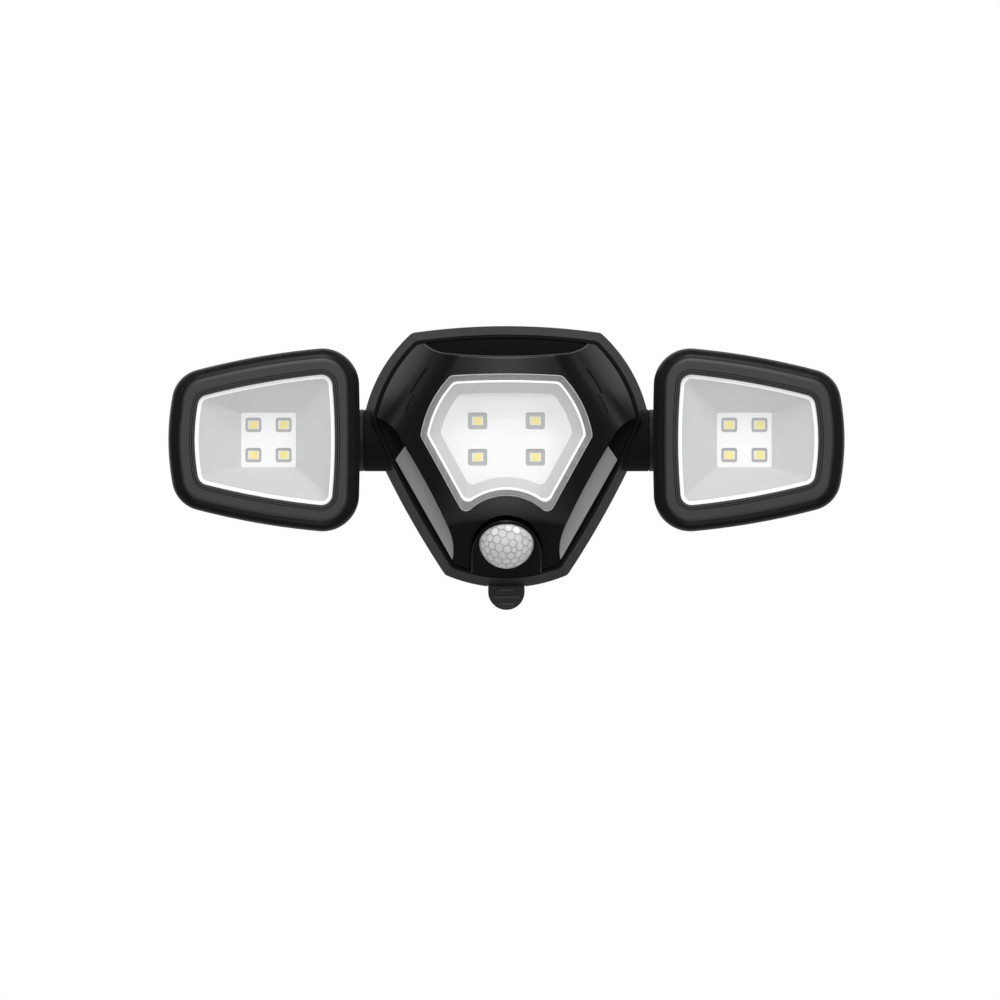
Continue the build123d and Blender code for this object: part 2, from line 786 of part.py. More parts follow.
reflector_outer = lens_ledge + slip
reflector_inner = reflector_outer + reflector_edge
flange_front = lens_ring_back - seat_gap
with BuildPart() as centre_reflector:
    with BuildSketch(front_plane(centre_floor_depth - reflector_wall)):
        add(lens_outline(reflector_floor_in - reflector_wall))
    with BuildSketch(front_plane(reflector_knee)):
        add(lens_outline(reflector_outer))
    loft(ruled=True)
    add(prism(lens_outline(reflector_outer), reflector_knee, 2 * cover_apex))
    add(barrel(lens_back_skin + seat_gap), mode=Mode.INTERSECT)
    add(prism(lens_outline(0), flange_front - reflector_wall, flange_front))
    with BuildPart(mode=Mode.PRIVATE) as bowl:
        with BuildSketch(front_plane(centre_floor_depth)):
            add(lens_outline(reflector_floor_in))
        with BuildSketch(front_plane(reflector_knee)):
            add(lens_outline(reflector_inner))
        loft(ruled=True)
    add(bowl.part, mode=Mode.SUBTRACT)
    add(prism(lens_outline(reflector_inner), reflector_knee, 2 * cover_apex), mode=Mode.SUBTRACT)
    with BuildSketch(front_plane(centre_floor_depth)):
        with Locations(*[(x, z) for x in (centre_led_x, -centre_led_x) for z in centre_led_z]):
            RectangleRounded(*centre_window, window_round)
    extrude(amount=-2 * reflector_wall, mode=Mode.SUBTRACT)
write(centre_reflector.part, "centre_reflector")


def led_group(spots, base_depth):
    """White LED bodies with a shallow pocket, and the yellow phosphor in each."""
    with BuildPart() as bodies:
        with BuildSketch(front_plane(base_depth)):
            with Locations(*spots):
                RectangleRounded(*led_size, led_round)
        extrude(amount=led_height)
        with BuildSketch(front_plane(base_depth + led_height)):
            with Locations(*spots):
                Rectangle(phosphor_size, phosphor_size)
        extrude(amount=-phosphor_height, mode=Mode.SUBTRACT)
    with BuildPart() as phosphors:
        with BuildSketch(front_plane(base_depth + led_height)):
            with Locations(*spots):
                Rectangle(phosphor_size, phosphor_size)
        extrude(amount=-phosphor_height)
    return bodies.part, phosphors.part


centre_board_front = centre_floor_depth - reflector_wall - seat_gap
with BuildPart() as centre_led_board:
    add(prism(lens_outline(reflector_floor_in), centre_board_front - board_thickness, centre_board_front))
write(centre_led_board.part, "centre_led_board")
centre_spots = [(x, z) for x in (centre_led_x, -centre_led_x) for z in centre_led_z]
centre_leds, centre_phosphors = led_group(centre_spots, centre_board_front)
write(centre_leds, "centre_leds")
write(centre_phosphors, "centre_led_phosphors")

# --------------------------------------------------------------- motion sensor
# The hood's face looks down by the sensor's slope, from the rim at its foot. The
# dome is held behind that face by its flange, with the detector inside it.
sensor_axis = Vector(0, -cos(radians(sensor_slope)), -sin(radians(sensor_slope)))
seat_depth = hood_face[0] + (dome_height - hood_face[1]) * tan(radians(sensor_slope))
seat = Vector(0, -seat_depth, dome_height)
dome_middle = seat - sensor_axis * dome_sink


def sensor_plane(lift):
    """A plane across the sensor's axis, this far out from the dome's centre."""
    return Plane(origin=dome_middle + sensor_axis * lift, x_dir=(1, 0, 0), z_dir=sensor_axis)


def ball(radius, center):
    """A solid ball."""
    with BuildPart() as sphere:
        with Locations(Location(center)):
            Sphere(radius)
    return sphere.part


dome_open_radius = dome_radius + slip
dome_flange_front = dome_sink - hood_wall - seat_gap
dome_flange_back = dome_flange_front - dome_flange_height
with BuildPart() as sensor_hood:
    with BuildSketch(front_plane(hood_back)):
        add(hood_arch(0, 0))
        with BuildSketch(mode=Mode.PRIVATE) as foot_edge:
            add(body_outline(hood_inset))
        add(foot_edge.sketch, mode=Mode.INTERSECT)
    extrude(amount=cover_apex)
    face = behind_face(hood_face[0], hood_face[1], sensor_slope, 0)
    add(face, mode=Mode.INTERSECT)
    fillet(sensor_hood.faces().sort_by(Axis.Y)[0].edges(), hood_edge_round)
    with BuildPart(mode=Mode.PRIVATE) as hollow:
        with BuildSketch(front_plane(hood_back)):
            add(hood_arch(-hood_wall, 0))
            with BuildSketch(mode=Mode.PRIVATE) as inner_edge:
                add(body_outline(cover_inset + hood_wall))
            add(inner_edge.sketch, mode=Mode.INTERSECT)
        extrude(amount=cover_apex)
        add(behind_face(hood_face[0], hood_face[1], sensor_slope, -hood_wall), mode=Mode.INTERSECT)
    add(hollow.part, mode=Mode.SUBTRACT)
    with BuildPart(mode=Mode.PRIVATE) as opening:
        add(ball(dome_open_radius, dome_middle))
        add(prism(hood_arch(-hood_crown, 0), hood_back, 2 * cover_apex), mode=Mode.INTERSECT)
    add(opening.part, mode=Mode.SUBTRACT)
write(sensor_hood.part, "sensor_hood")

with BuildPart() as sensor_dome:
    add(ball(dome_radius, dome_middle))
    with BuildSketch(sensor_plane(dome_flange_back)):
        Circle(2 * dome_radius)
    extrude(amount=-2 * dome_radius, mode=Mode.SUBTRACT)
    add(prism(hood_arch(-hood_crown - slip, 0), hood_back, 2 * cover_apex), mode=Mode.INTERSECT)
    with BuildPart(mode=Mode.PRIVATE) as dome_foot:
        with BuildSketch(sensor_plane(dome_flange_back)):
            Circle(dome_radius + dome_flange)
        extrude(amount=dome_flange_height)
        add(prism(hood_arch(-hood_wall - slip, 0), hood_back, 2 * cover_apex), mode=Mode.INTERSECT)
    add(dome_foot.part)
    add(ball(dome_radius - dome_wall, dome_middle), mode=Mode.SUBTRACT)
write(sensor_dome.part, "sensor_dome")

with BuildPart() as sensor_board:
    with BuildSketch(sensor_plane(pir_back)):
        with Locations((0, -sensor_board_drop)):
            Rectangle(*sensor_board_size)
    extrude(amount=-board_thickness)
write(sensor_board.part, "sensor_board")

with BuildPart() as motion_detector:
    with BuildSketch(sensor_plane(pir_back)):
        Circle(pir_flange_radius)
    extrude(amount=pir_flange_height)
    with BuildSketch(sensor_plane(pir_back)):
        Circle(pir_can_radius)
    extrude(amount=pir_can_height)
    with BuildSketch(sensor_plane(pir_back + pir_can_height)):
        Rectangle(*pir_window)
    extrude(amount=-pir_window_height, mode=Mode.SUBTRACT)
write(motion_detector.part, "motion_detector")

with BuildPart() as detector_window:
    with BuildSketch(sensor_plane(pir_back + pir_can_height)):
        Rectangle(*pir_window)
    extrude(amount=-pir_window_height)
write(detector_window.part, "detector_window")

with BuildPart() as photocell:
    with BuildSketch(sensor_plane(pir_back)):
        with Locations(photocell_place):
            Circle(photocell_radius)
    extrude(amount=photocell_height)
    cap = photocell.faces().sort_by(Axis(dome_middle, sensor_axis))[-1]
    fillet(cap.edges(), photocell_radius / 2)
write(photocell.part, "photocell")

# ------------------------------------------------------------- swivel arms
# A barrel on the arm's axis, with a hollow journal that turns in the housing's
# boss and a knuckle, across the axis, that the head swings on.
def arm_plane(place):
    """A plane across the right arm's axis, facing outwards."""
    return Plane(origin=(place, -arm_depth, 0), x_dir=(0, 1, 0), z_dir=(1, 0, 0))


def swing_plane(height):
    """A level plane on the right head's swing axis, facing up."""
    return Plane(origin=(swing_place, -arm_depth, height), x_dir=(1, 0, 0), z_dir=(0, 0, 1))


arm_start = boss_end + seat_gap
ring_place = boss_start - washer_thickness - 2 * seat_gap
with BuildPart() as swivel_arm:
    with BuildSketch(arm_plane(arm_start)):
        Circle(arm_radius)
    extrude(amount=arm_end - arm_start)
    fillet(swivel_arm.edges().filter_by(GeomType.CIRCLE), arm_edge_round)
    with BuildSketch(arm_plane(journal_end)):
        Circle(journal_radius)
    extrude(amount=arm_start - journal_end)
    # neck and knuckle
    with BuildSketch(swing_plane(-knuckle_half)):
        Circle(knuckle_radius)
        Rectangle(swing_place - arm_end + 1, 2 * neck_half, align=(Align.MAX, Align.CENTER))
    extrude(amount=2 * knuckle_half)
    with BuildSketch(swing_plane(-knuckle_half)):
        Circle(pin_radius + running)
    extrude(amount=2 * knuckle_half, mode=Mode.SUBTRACT)
    # way for the leads, in along the journal and out through the barrel's rear
    bore_end = arm_end - knuckle_half
    with BuildSketch(arm_plane(journal_end)):
        Circle(arm_bore)
    extrude(amount=bore_end - journal_end, mode=Mode.SUBTRACT)
    with BuildSketch(Plane(origin=(bore_end - lead_hole, -arm_depth, 0), z_dir=(0, 1, 0))):
        Circle(lead_hole)
    extrude(amount=arm_radius, mode=Mode.SUBTRACT)
    # groove of the sealing ring
    with BuildSketch(arm_plane(oring_place - oring_section)):
        Circle(journal_radius)
        Circle(journal_radius - 2 * oring_section, mode=Mode.SUBTRACT)
    extrude(amount=2 * oring_section, mode=Mode.SUBTRACT)
write_pair(swivel_arm.part, "swivel_arm")

with BuildPart() as arm_seal:
    with BuildSketch(Plane(origin=(oring_place, -arm_depth, 0), x_dir=(1, 0, 0), z_dir=(0, -1, 0))):
        with Locations((0, journal_radius - oring_section)):
            Circle(oring_section - seat_gap)
    revolve(axis=Axis((0, -arm_depth, 0), (1, 0, 0)))
write_pair(arm_seal.part, "arm_seal")

with BuildPart() as friction_washer:
    with BuildSketch(arm_plane(boss_start - seat_gap - washer_thickness)):
        Circle(ring_radius)
        Circle(journal_radius + running, mode=Mode.SUBTRACT)
    extrude(amount=washer_thickness)
write_pair(friction_washer.part, "friction_washer")

with BuildPart() as retaining_ring:
    with BuildSketch(arm_plane(ring_place - ring_thickness)):
        Circle(ring_radius)
        Circle(journal_radius, mode=Mode.SUBTRACT)
    extrude(amount=ring_thickness)
write_pair(retaining_ring.part, "retaining_ring")

# --------------------------------------------------------------- side heads
# Everything here is the right-hand head. The left one is its mirror image.
def head_shape(inner, outer, rises, roundings, inset):
    """A bowed four-sided outline, level in the middle, moved in by inset."""
    corners = [inner, outer, (outer[0], -outer[1]), (inner[0], -inner[1])]
    with BuildSketch() as result:
        add(bowed_outline(corners, rises))
        if inset != 0:
            offset(amount=-inset, kind=Kind.INTERSECTION)
        near_body = result.vertices().sort_by(Axis.X)[:2]
        fillet(near_body, max(roundings[0] - inset, least_round))
        far_side = result.vertices().sort_by(Axis.X)[-2:]
        fillet(far_side, max(roundings[1] - inset, least_round))
    return result.sketch


def head_outline(inset):
    """A head's outside seen from the front, moved in by inset."""
    rises = [head_top_rise, head_outer_rise, head_top_rise, head_inner_rise]
    roundings = (head_inner_round, head_outer_round)
    return head_shape(head_inner, head_outer, rises, roundings, inset)


def head_opening(inset):
    """A head's clear opening seen from the front, moved in by inset."""
    rises = [head_lens_top_rise, head_lens_outer_rise, head_lens_top_rise, head_lens_inner_rise]
    roundings = (head_lens_round, head_lens_round)
    return head_shape(head_lens_inner, head_lens_outer, rises, roundings, inset)


def tapered(wide, wide_depth, narrow, narrow_depth):
    """A straight-sided body between two outlines at two depths."""
    with BuildPart() as body:
        with BuildSketch(front_plane(wide_depth)):
            add(wide)
        with BuildSketch(front_plane(narrow_depth)):
            add(narrow)
        loft(ruled=True)
    return body.part


def plate_outline(growth):
    """The square white plate round a head's LEDs."""
    side = head_plate + 2 * growth
    with BuildSketch() as plate:
        with Locations((head_plate_x, 0)):
            RectangleRounded(side, side, head_plate_round)
    return plate.sketch


def head_spots():
    """Where a head's four LEDs stand, seen from the front."""
    half = head_led_pitch / 2
    return [(head_plate_x + x, z) for x in (-half, half) for z in (-half, half)]


# Rear shell: a shallow pan with two ears that hold the arm's knuckle between them.
head_screw_spots = [
    (place[0], side * place[1]) for place in (head_screw_near, head_screw_far) for side in (1, -1)
]
head_screw_seat = head_back + head_screw_sunk
with BuildPart() as head_shell:
    add(tapered(head_outline(head_roll / 3), head_seam, head_outline(head_back_in), head_back))
    with BuildPart(mode=Mode.PRIVATE) as pan:
        add(
            tapered(
                head_outline(head_roll / 3 + head_wall),
                head_seam,
                head_outline(head_back_in + head_wall),
                head_back + head_wall,
            )
        )
    add(pan.part, mode=Mode.SUBTRACT)
    # ears on the swing axis
    for turn in (1, -1):
        ear_start = turn * (knuckle_half + ear_gap)
        with BuildSketch(swing_plane(ear_start)):
            Circle(knuckle_radius)
            Rectangle(
                2 * knuckle_radius,
                head_back + head_wall / 2 - arm_depth,
                align=(Align.CENTER, Align.MAX),
            )
        extrude(amount=turn * ear_thickness)
    with BuildSketch(swing_plane(-2 * arm_radius)):
        Circle(pin_radius)
    extrude(amount=4 * arm_radius, mode=Mode.SUBTRACT)
    # sockets of the screws that hold the front frame
    with BuildSketch(front_plane(head_back)):
        with Locations(*head_screw_spots):
            Circle(pillar_radius)
    extrude(amount=head_seam - head_back)
    with BuildSketch(front_plane(head_back)):
        with Locations(*head_screw_spots):
            Circle(screw_head_radius + slip)
    extrude(amount=head_screw_sunk, mode=Mode.SUBTRACT)
    with BuildSketch(front_plane(head_back)):
        with Locations(*head_screw_spots):
            Circle(screw_radius + slip)
    extrude(amount=head_seam - head_back, mode=Mode.SUBTRACT)
    # hole for the leads
    with BuildSketch(front_plane(head_back)):
        with Locations((lead_entry, 0)):
            Circle(lead_hole)
    extrude(amount=head_wall, mode=Mode.SUBTRACT)
write_pair(head_shell.part, "head_shell")

# Front frame: a rolled outer edge, a flat face with two fine grooves, a bevelled
# opening, and a step behind it for the lens and its seal.
head_lens_front = head_front - head_lens_sunk
head_lens_back = head_lens_front - head_lens_thickness
with BuildPart() as head_frame:
    add(prism(head_outline(0), head_seam, head_front))
    fillet(head_frame.faces().sort_by(Axis.Y)[0].edges(), head_roll)
    chamfer(head_frame.faces().sort_by(Axis.Y)[-1].edges(), head_roll / 3)
    add(prism(head_opening(0), head_seam, head_front), mode=Mode.SUBTRACT)
    chamfer(head_frame.faces().sort_by(Axis.Y)[0].inner_wires()[0].edges(), frame_bevel)
    for groove_edge in frame_grooves:
        with BuildSketch(front_plane(head_front)):
            add(head_opening(-groove_edge))
            add(head_opening(-groove_edge + frame_groove_width), mode=Mode.SUBTRACT)
        extrude(amount=-frame_groove_width, mode=Mode.SUBTRACT)
    lens_step = head_opening(-head_lens_flange - slip)
    add(prism(lens_step, head_seam, head_lens_front - head_lens_step), mode=Mode.SUBTRACT)
    pocket = head_outline(head_wall + head_roll / 3)
    add(prism(pocket, head_seam, head_seam + head_frame_pocket), mode=Mode.SUBTRACT)
    with BuildSketch(front_plane(head_seam)):
        with Locations(*head_screw_spots):
            Circle(pillar_radius)
    extrude(amount=head_boss_height)
    with BuildSketch(front_plane(head_seam)):
        with Locations(*head_screw_spots):
            Circle(screw_radius)
    extrude(amount=head_screw_seat + head_screw_length - head_seam, mode=Mode.SUBTRACT)
write_pair(head_frame.part, "head_frame")

head_lens_edge = -head_lens_flange
head_flange_front = head_lens_front - head_lens_step
with BuildPart() as head_lens:
    add(prism(head_opening(slip), head_lens_back, head_lens_front))
    add(prism(head_opening(head_lens_edge), head_lens_back, head_flange_front - seat_gap))
write_pair(head_lens.part, "head_lens")

with BuildPart() as head_lens_seal:
    add(prism(head_opening(head_lens_edge), head_lens_back - lens_seal_thickness, head_lens_back))
    add(prism(head_opening(0), head_seam, head_front), mode=Mode.SUBTRACT)
write_pair(head_lens_seal.part, "head_lens_seal")

# White reflector: a flange under the seal, four walls down to a square plate with
# a window for each LED.
head_flange_back = head_lens_back - lens_seal_thickness
with BuildPart() as head_reflector:
    add(prism(head_opening(head_lens_edge), head_flange_back - reflector_wall, head_flange_back))
    add(
        tapered(
            head_opening(head_rim - reflector_wall),
            head_flange_back,
            plate_outline(reflector_wall),
            head_floor_depth - reflector_wall,
        )
    )
    bowl = tapered(head_opening(head_rim), head_flange_back, plate_outline(0), head_floor_depth)
    add(bowl, mode=Mode.SUBTRACT)
    with BuildSketch(front_plane(head_floor_depth)):
        with Locations(*head_spots()):
            RectangleRounded(*head_window, window_round)
    extrude(amount=-2 * reflector_wall, mode=Mode.SUBTRACT)
write_pair(head_reflector.part, "head_reflector")

head_board_front = head_floor_depth - reflector_wall - seat_gap
with BuildPart() as head_led_board:
    add(prism(plate_outline(reflector_wall), head_back + head_wall + seat_gap, head_board_front))
write_pair(head_led_board.part, "head_led_board")
head_leds, head_phosphors = led_group(head_spots(), head_board_front)
write_pair(head_leds, "head_leds")
write_pair(head_phosphors, "head_led_phosphors")


def screws(spots, head_depth, length):
    """Pan-head screws driven towards the front from a head face at head_depth."""
    with BuildPart() as group:
        with BuildSketch(front_plane(head_depth)):
            with Locations(*spots):
                Circle(screw_head_radius)
        extrude(amount=-screw_head_height)
        with BuildSketch(front_plane(head_depth)):
            with Locations(*spots):
                Circle(screw_radius)
        extrude(amount=length)
        with BuildSketch(front_plane(head_depth - screw_head_height)):
            with Locations(*spots):
                Rectangle(1.6 * screw_head_radius, cross_width)
                Rectangle(cross_width, 1.6 * screw_head_radius)
        extrude(amount=cross_depth, mode=Mode.SUBTRACT)
    return group.part


write_pair(screws(head_screw_spots, head_screw_seat, head_screw_length), "head_screws")

with BuildPart() as hinge_pin:
    ear_top = knuckle_half + ear_gap + ear_thickness
    with BuildSketch(swing_plane(-ear_top)):
        Circle(pin_radius)
    extrude(amount=2 * ear_top)
    with BuildSketch(swing_plane(ear_top)):
        Circle(pin_head_radius)
    extrude(amount=pin_head_height)
    with BuildSketch(swing_plane(ear_top + pin_head_height)):
        RegularPolygon(pin_radius * 0.7, 6)
    extrude(amount=-pin_head_height * 0.7, mode=Mode.SUBTRACT)
write_pair(hinge_pin.part, "hinge_pin")

with BuildPart() as hinge_nut:
    with BuildSketch(swing_plane(-ear_top)):
        RegularPolygon(pin_head_radius, 6)
    extrude(amount=-pin_head_height)
write_pair(hinge_nut.part, "hinge_nut")

# ------------------------------------------------------- battery compartment
# Three cells stand upright side by side, between contacts at top and foot. The
# door closes the compartment from the back, over a seal, with four screws.
cell_pitch = 2 * cell_radius + cell_gap
cell_depth = tray_start + cell_gap + cell_radius
cell_spots = [((number - (cell_count - 1) / 2) * cell_pitch, -cell_depth) for number in range(cell_count)]
cell_foot = tray_center - cell_length / 2


def level_plane(height):
    """A level plane at this height, facing up: local X is X, local Y is Y."""
    return Plane(origin=(0, 0, height), x_dir=(1, 0, 0), z_dir=(0, 0, 1))


with BuildPart() as battery_cells:
    for number, spot in enumerate(cell_spots):
        button_up = number % 2 == 0
        body_foot = cell_foot if button_up else cell_foot + cell_button_height
        with BuildSketch(level_plane(body_foot)):
            with Locations(spot):
                Circle(cell_radius)
        extrude(amount=cell_length - cell_button_height)
        button_foot = cell_foot + cell_length - cell_button_height if button_up else cell_foot
        with BuildSketch(level_plane(button_foot)):
            with Locations(spot):
                Circle(cell_button_radius)
        extrude(amount=cell_button_height)
write(battery_cells.part, "battery_cells")


def coil(foot, wire, radius, height, turns):
    """A coil spring standing up from foot, with the given number of turns."""
    with BuildPart() as spring:
        with BuildLine() as path:
            Helix(
                pitch=(height - 2 * wire) / turns,
                height=height - 2 * wire,
                radius=radius,
                center=(foot[0], foot[1], foot[2] + wire),
            )
        with BuildSketch(Plane(origin=path.line @ 0, z_dir=path.line % 0)):
            Circle(wire)
        sweep()
    return spring.part


# Contacts: a plate on the case's wall at each end of a cell. A spring presses on
# the cell's flat end, and a raised tab on its button.
spring_room = contact_room - contact_plate_thickness - 2 * seat_gap
tray_foot = tray_center - tray_height / 2
with BuildPart() as battery_contacts:
    for number, spot in enumerate(cell_spots):
        button_up = number % 2 == 0
        for end in (1, -1):
            wall_height = tray_center + end * tray_height / 2
            with BuildSketch(level_plane(wall_height)):
                with Locations(spot):
                    Rectangle(*contact_plate_size)
            extrude(amount=-end * contact_plate_thickness)
            if (end == 1) == button_up:
                with BuildSketch(level_plane(wall_height)):
                    with Locations(spot):
                        Circle(contact_tab_radius)
                extrude(amount=-end * (contact_room - seat_gap), taper=contact_tab_taper)
        if button_up:
            foot = tray_foot + contact_plate_thickness + seat_gap
        else:
            foot = cell_foot + cell_length + seat_gap
        place = (spot[0], spot[1], foot)
        add(coil(place, battery_wire, battery_coil_radius, spring_room, battery_coil_turns))
write(battery_contacts.part, "battery_contacts")

# Door: a plate over the compartment with four ears, on a sealing strip.
door_front = back_depth - seal_height
door_back = door_front - door_thickness
with BuildPart() as battery_door:
    with BuildSketch(front_plane(door_back)):
        with Locations(tray_place):
            RectangleRounded(tray_width + 2 * door_lap, tray_height + 2 * door_lap, door_round)
        with Locations(*door_screw_spots):
            Circle(door_ear_radius)
    extrude(amount=door_thickness)
    with BuildSketch(front_plane(door_back)):
        with Locations(*door_screw_spots):
            Circle(screw_head_radius + slip)
    extrude(amount=screw_head_height, mode=Mode.SUBTRACT)
    with BuildSketch(front_plane(door_back)):
        with Locations(*door_screw_spots):
            Circle(screw_radius + slip)
    extrude(amount=door_thickness, mode=Mode.SUBTRACT)
write(battery_door.part, "battery_door")

with BuildPart() as door_seal:
    with BuildSketch(front_plane(door_front + seat_gap)):
        with Locations(tray_place):
            RectangleRounded(
                tray_width + 2 * (slip + seal_width), tray_height + 2 * (slip + seal_width), seal_width
            )
            Rectangle(tray_width + 2 * slip, tray_height + 2 * slip, mode=Mode.SUBTRACT)
    extrude(amount=seal_height - 2 * seat_gap)
write(door_seal.part, "door_seal")

write(screws(door_screw_spots, door_back + screw_head_height, door_screw_length), "door_screws")
cover_screw_length = cover_back - back_depth + screw_length - 1
write(screws(pillars, back_depth, cover_screw_length), "cover_screws")

# --------------------------------------------------------------- control board
# The board stands on two posts of the housing, behind the sensor. The mode switch
# is soldered to its back, and its lever comes out through the back wall.
with BuildPart() as control_board:
    with BuildSketch(front_plane(board_depth)):
        with Locations((0, board_row)):
            Rectangle(2 * board_half, board_width)
    extrude(amount=board_thickness)
write(control_board.part, "control_board")

with BuildPart() as board_capacitors:
    with BuildSketch(front_plane(board_depth + board_thickness)):
        with Locations(*[(x, board_row) for x in capacitor_places]):
            Circle(capacitor_radius)
    extrude(amount=capacitor_height)
write(board_capacitors.part, "board_capacitors")

switch_height = board_depth - seat_gap - back_depth - shell_wall - seat_gap
with BuildPart() as mode_switch:
    with BuildSketch(front_plane(board_depth - seat_gap)):
        with Locations((switch_x, board_row)):
            Rectangle(switch_length, switch_width)
    extrude(amount=-switch_height)
    with BuildSketch(front_plane(back_depth + shell_wall)):
        with Locations((switch_x, board_row)):
            Rectangle(slider_length + 2 * switch_throw + 2 * stand_off, slider_width + 2 * stand_off)
    extrude(amount=slider_depth + stand_off, mode=Mode.SUBTRACT)
write(mode_switch.part, "mode_switch")

with BuildPart() as mode_slider:
    with BuildSketch(front_plane(back_depth + shell_wall + 2 * seat_gap)):
        with Locations((switch_x, board_row)):
            Rectangle(slider_length, slider_width)
    extrude(amount=slider_depth - seat_gap)
    with BuildSketch(front_plane(back_depth + shell_wall + 2 * seat_gap)):
        with Locations((switch_x, board_row)):
            Rectangle(lever_length, lever_width)
    extrude(amount=-(shell_wall + lever_proud))
write(mode_slider.part, "mode_slider")

# ------------------------------------------------------ release latch, bracket
# The latch slides down between two rails of the housing. Its tongue reaches up
# behind a bar of the wall bracket, and a coil spring in its window lifts it.
latch_middle = latch_foot + latch_radius
window_top = latch_top - latch_bridge
peg_foot = window_foot + stand_off
with BuildPart() as release_latch:
    with BuildSketch(front_plane(latch_back)):
        with Locations((0, latch_middle)):
            Circle(latch_radius)
            Rectangle(
                2 * latch_radius, latch_top - latch_middle, align=(Align.CENTER, Align.MIN)
            )
        with Locations((0, window_foot)):
            Rectangle(
                2 * window_half,
                window_top - window_foot,
                align=(Align.CENTER, Align.MIN),
                mode=Mode.SUBTRACT,
            )
    extrude(amount=latch_thickness)
    with BuildSketch(front_plane(latch_back)):
        with Locations((0, latch_top)):
            Rectangle(2 * tongue_half, tongue_height, align=(Align.CENTER, Align.MIN))
    extrude(amount=tongue_thickness)
    # three raised ridges for the thumb
    with BuildSketch(front_plane(latch_front)):
        for offset_down, length in ridges:
            with Locations((0, latch_middle - offset_down)):
                SlotOverall(length, ridge_width)
    extrude(amount=ridge_height)
write(release_latch.part, "release_latch")

spring_foot = (0, -(latch_back + latch_front) / 2, peg_foot + peg_height)
spring_height = window_top - spring_foot[2] - stand_off / 3
write(coil(spring_foot, latch_wire, latch_coil_radius, spring_height, latch_coil_turns), "latch_spring")

bar_back = latch_back + tongue_thickness + stand_off
with BuildPart() as wall_bracket:
    with BuildSketch(front_plane(0)):
        with Locations((0, bracket_center)):
            RectangleRounded(*bracket_size, bracket_round)
        with BuildSketch(mode=Mode.PRIVATE) as limit:
            add(body_outline(shell_wall + 4 * stand_off))
        add(limit.sketch, mode=Mode.INTERSECT)
        with Locations(*wall_hole_spots):
            Circle(wall_hole_radius, mode=Mode.SUBTRACT)
        with Locations((0, bracket_center)):
            SlotOverall(*bracket_window, mode=Mode.SUBTRACT)
    extrude(amount=bracket_thickness)
    # hooks at the top, and the bar on two posts that the latch's tongue goes behind
    for side in (1, -1):
        with BuildSketch(front_plane(bracket_thickness)):
            with Locations((side * hook_x, hook_foot)):
                Rectangle(hook_width, hook_height, align=(Align.CENTER, Align.MIN))
        extrude(amount=back_depth + shell_wall + hook_lip - bracket_thickness + seat_gap)
        with BuildSketch(front_plane(back_depth + shell_wall + seat_gap)):
            with Locations((side * hook_x, hook_foot)):
                Rectangle(hook_width, hook_height + hook_lip, align=(Align.CENTER, Align.MIN))
        extrude(amount=hook_lip)
        with BuildSketch(front_plane(bracket_thickness)):
            with Locations((side * (tongue_half + 2 * hook_lip), latch_top + bar_up)):
                Rectangle(hook_lip, bar_height, align=(Align.CENTER, Align.MIN))
        extrude(amount=bar_back + bar_thickness - bracket_thickness)
    with BuildSketch(front_plane(bar_back)):
        with Locations((0, latch_top + bar_up)):
            Rectangle(2 * tongue_half + 5 * hook_lip, bar_height, align=(Align.CENTER, Align.MIN))
    extrude(amount=bar_thickness)
write(wall_bracket.part, "wall_bracket")
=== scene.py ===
from math import pi, radians

import bmesh
import bpy
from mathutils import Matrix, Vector


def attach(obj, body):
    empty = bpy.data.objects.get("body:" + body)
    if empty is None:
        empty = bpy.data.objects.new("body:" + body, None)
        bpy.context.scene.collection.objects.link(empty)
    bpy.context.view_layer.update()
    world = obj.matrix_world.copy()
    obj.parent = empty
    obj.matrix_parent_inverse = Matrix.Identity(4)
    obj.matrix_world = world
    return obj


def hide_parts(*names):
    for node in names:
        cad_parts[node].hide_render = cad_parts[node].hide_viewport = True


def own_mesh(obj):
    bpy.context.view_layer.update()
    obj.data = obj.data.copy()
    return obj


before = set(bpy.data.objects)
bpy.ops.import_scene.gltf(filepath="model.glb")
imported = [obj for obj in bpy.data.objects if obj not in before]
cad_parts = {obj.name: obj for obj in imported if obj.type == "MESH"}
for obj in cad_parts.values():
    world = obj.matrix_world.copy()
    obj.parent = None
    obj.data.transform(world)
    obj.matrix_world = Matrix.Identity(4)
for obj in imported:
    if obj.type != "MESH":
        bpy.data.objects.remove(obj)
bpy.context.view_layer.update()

# ------------------------------------------------------------------------- the studio
# A pale floor well below the light, in a white room. Four soft boxes light it from
# overhead, from both sides and from the front, and a long lens looks straight at the
# wall, a little below the height of the arms.
floor_size = 2.2
floor_level = -0.34
bpy.ops.object.select_all(action="DESELECT")
bpy.ops.mesh.primitive_plane_add(size=floor_size, location=(0, 0, floor_level))
floor = bpy.context.object
floor.name = "studio_floor"


def new_material(name):
    """An empty node material, its node tree and its Principled shader."""
    material = bpy.data.materials.new(name)
    material.use_nodes = True
    return material, material.node_tree, material.node_tree.nodes["Principled BSDF"]


def add(tree, kind, **settings):
    """A new shader node in a tree, with its own settings."""
    node = tree.nodes.new("ShaderNode" + kind)
    for setting, value in settings.items():
        setattr(node, setting, value)
    return node


def put(node, values):
    """Writes plain values on a node's inputs."""
    for socket, value in values.items():
        node.inputs[socket].default_value = value


def feed(tree, source, socket):
    """Links an output to an input, or writes a plain value there."""
    if isinstance(source, bpy.types.NodeSocket):
        tree.links.new(source, socket)
    else:
        socket.default_value = source


def combine(tree, operation, *sources):
    """A Math node over outputs or plain values, and its own output."""
    node = add(tree, "Math", operation=operation)
    for number, source in enumerate(sources):
        feed(tree, source, node.inputs[number])
    return node.outputs[0]


floor_paint, tree, shader = new_material("studio_floor")
put(shader, {"Base Color": (0.88, 0.88, 0.88, 1), "Roughness": 0.9})
floor.data.materials.append(floor_paint)

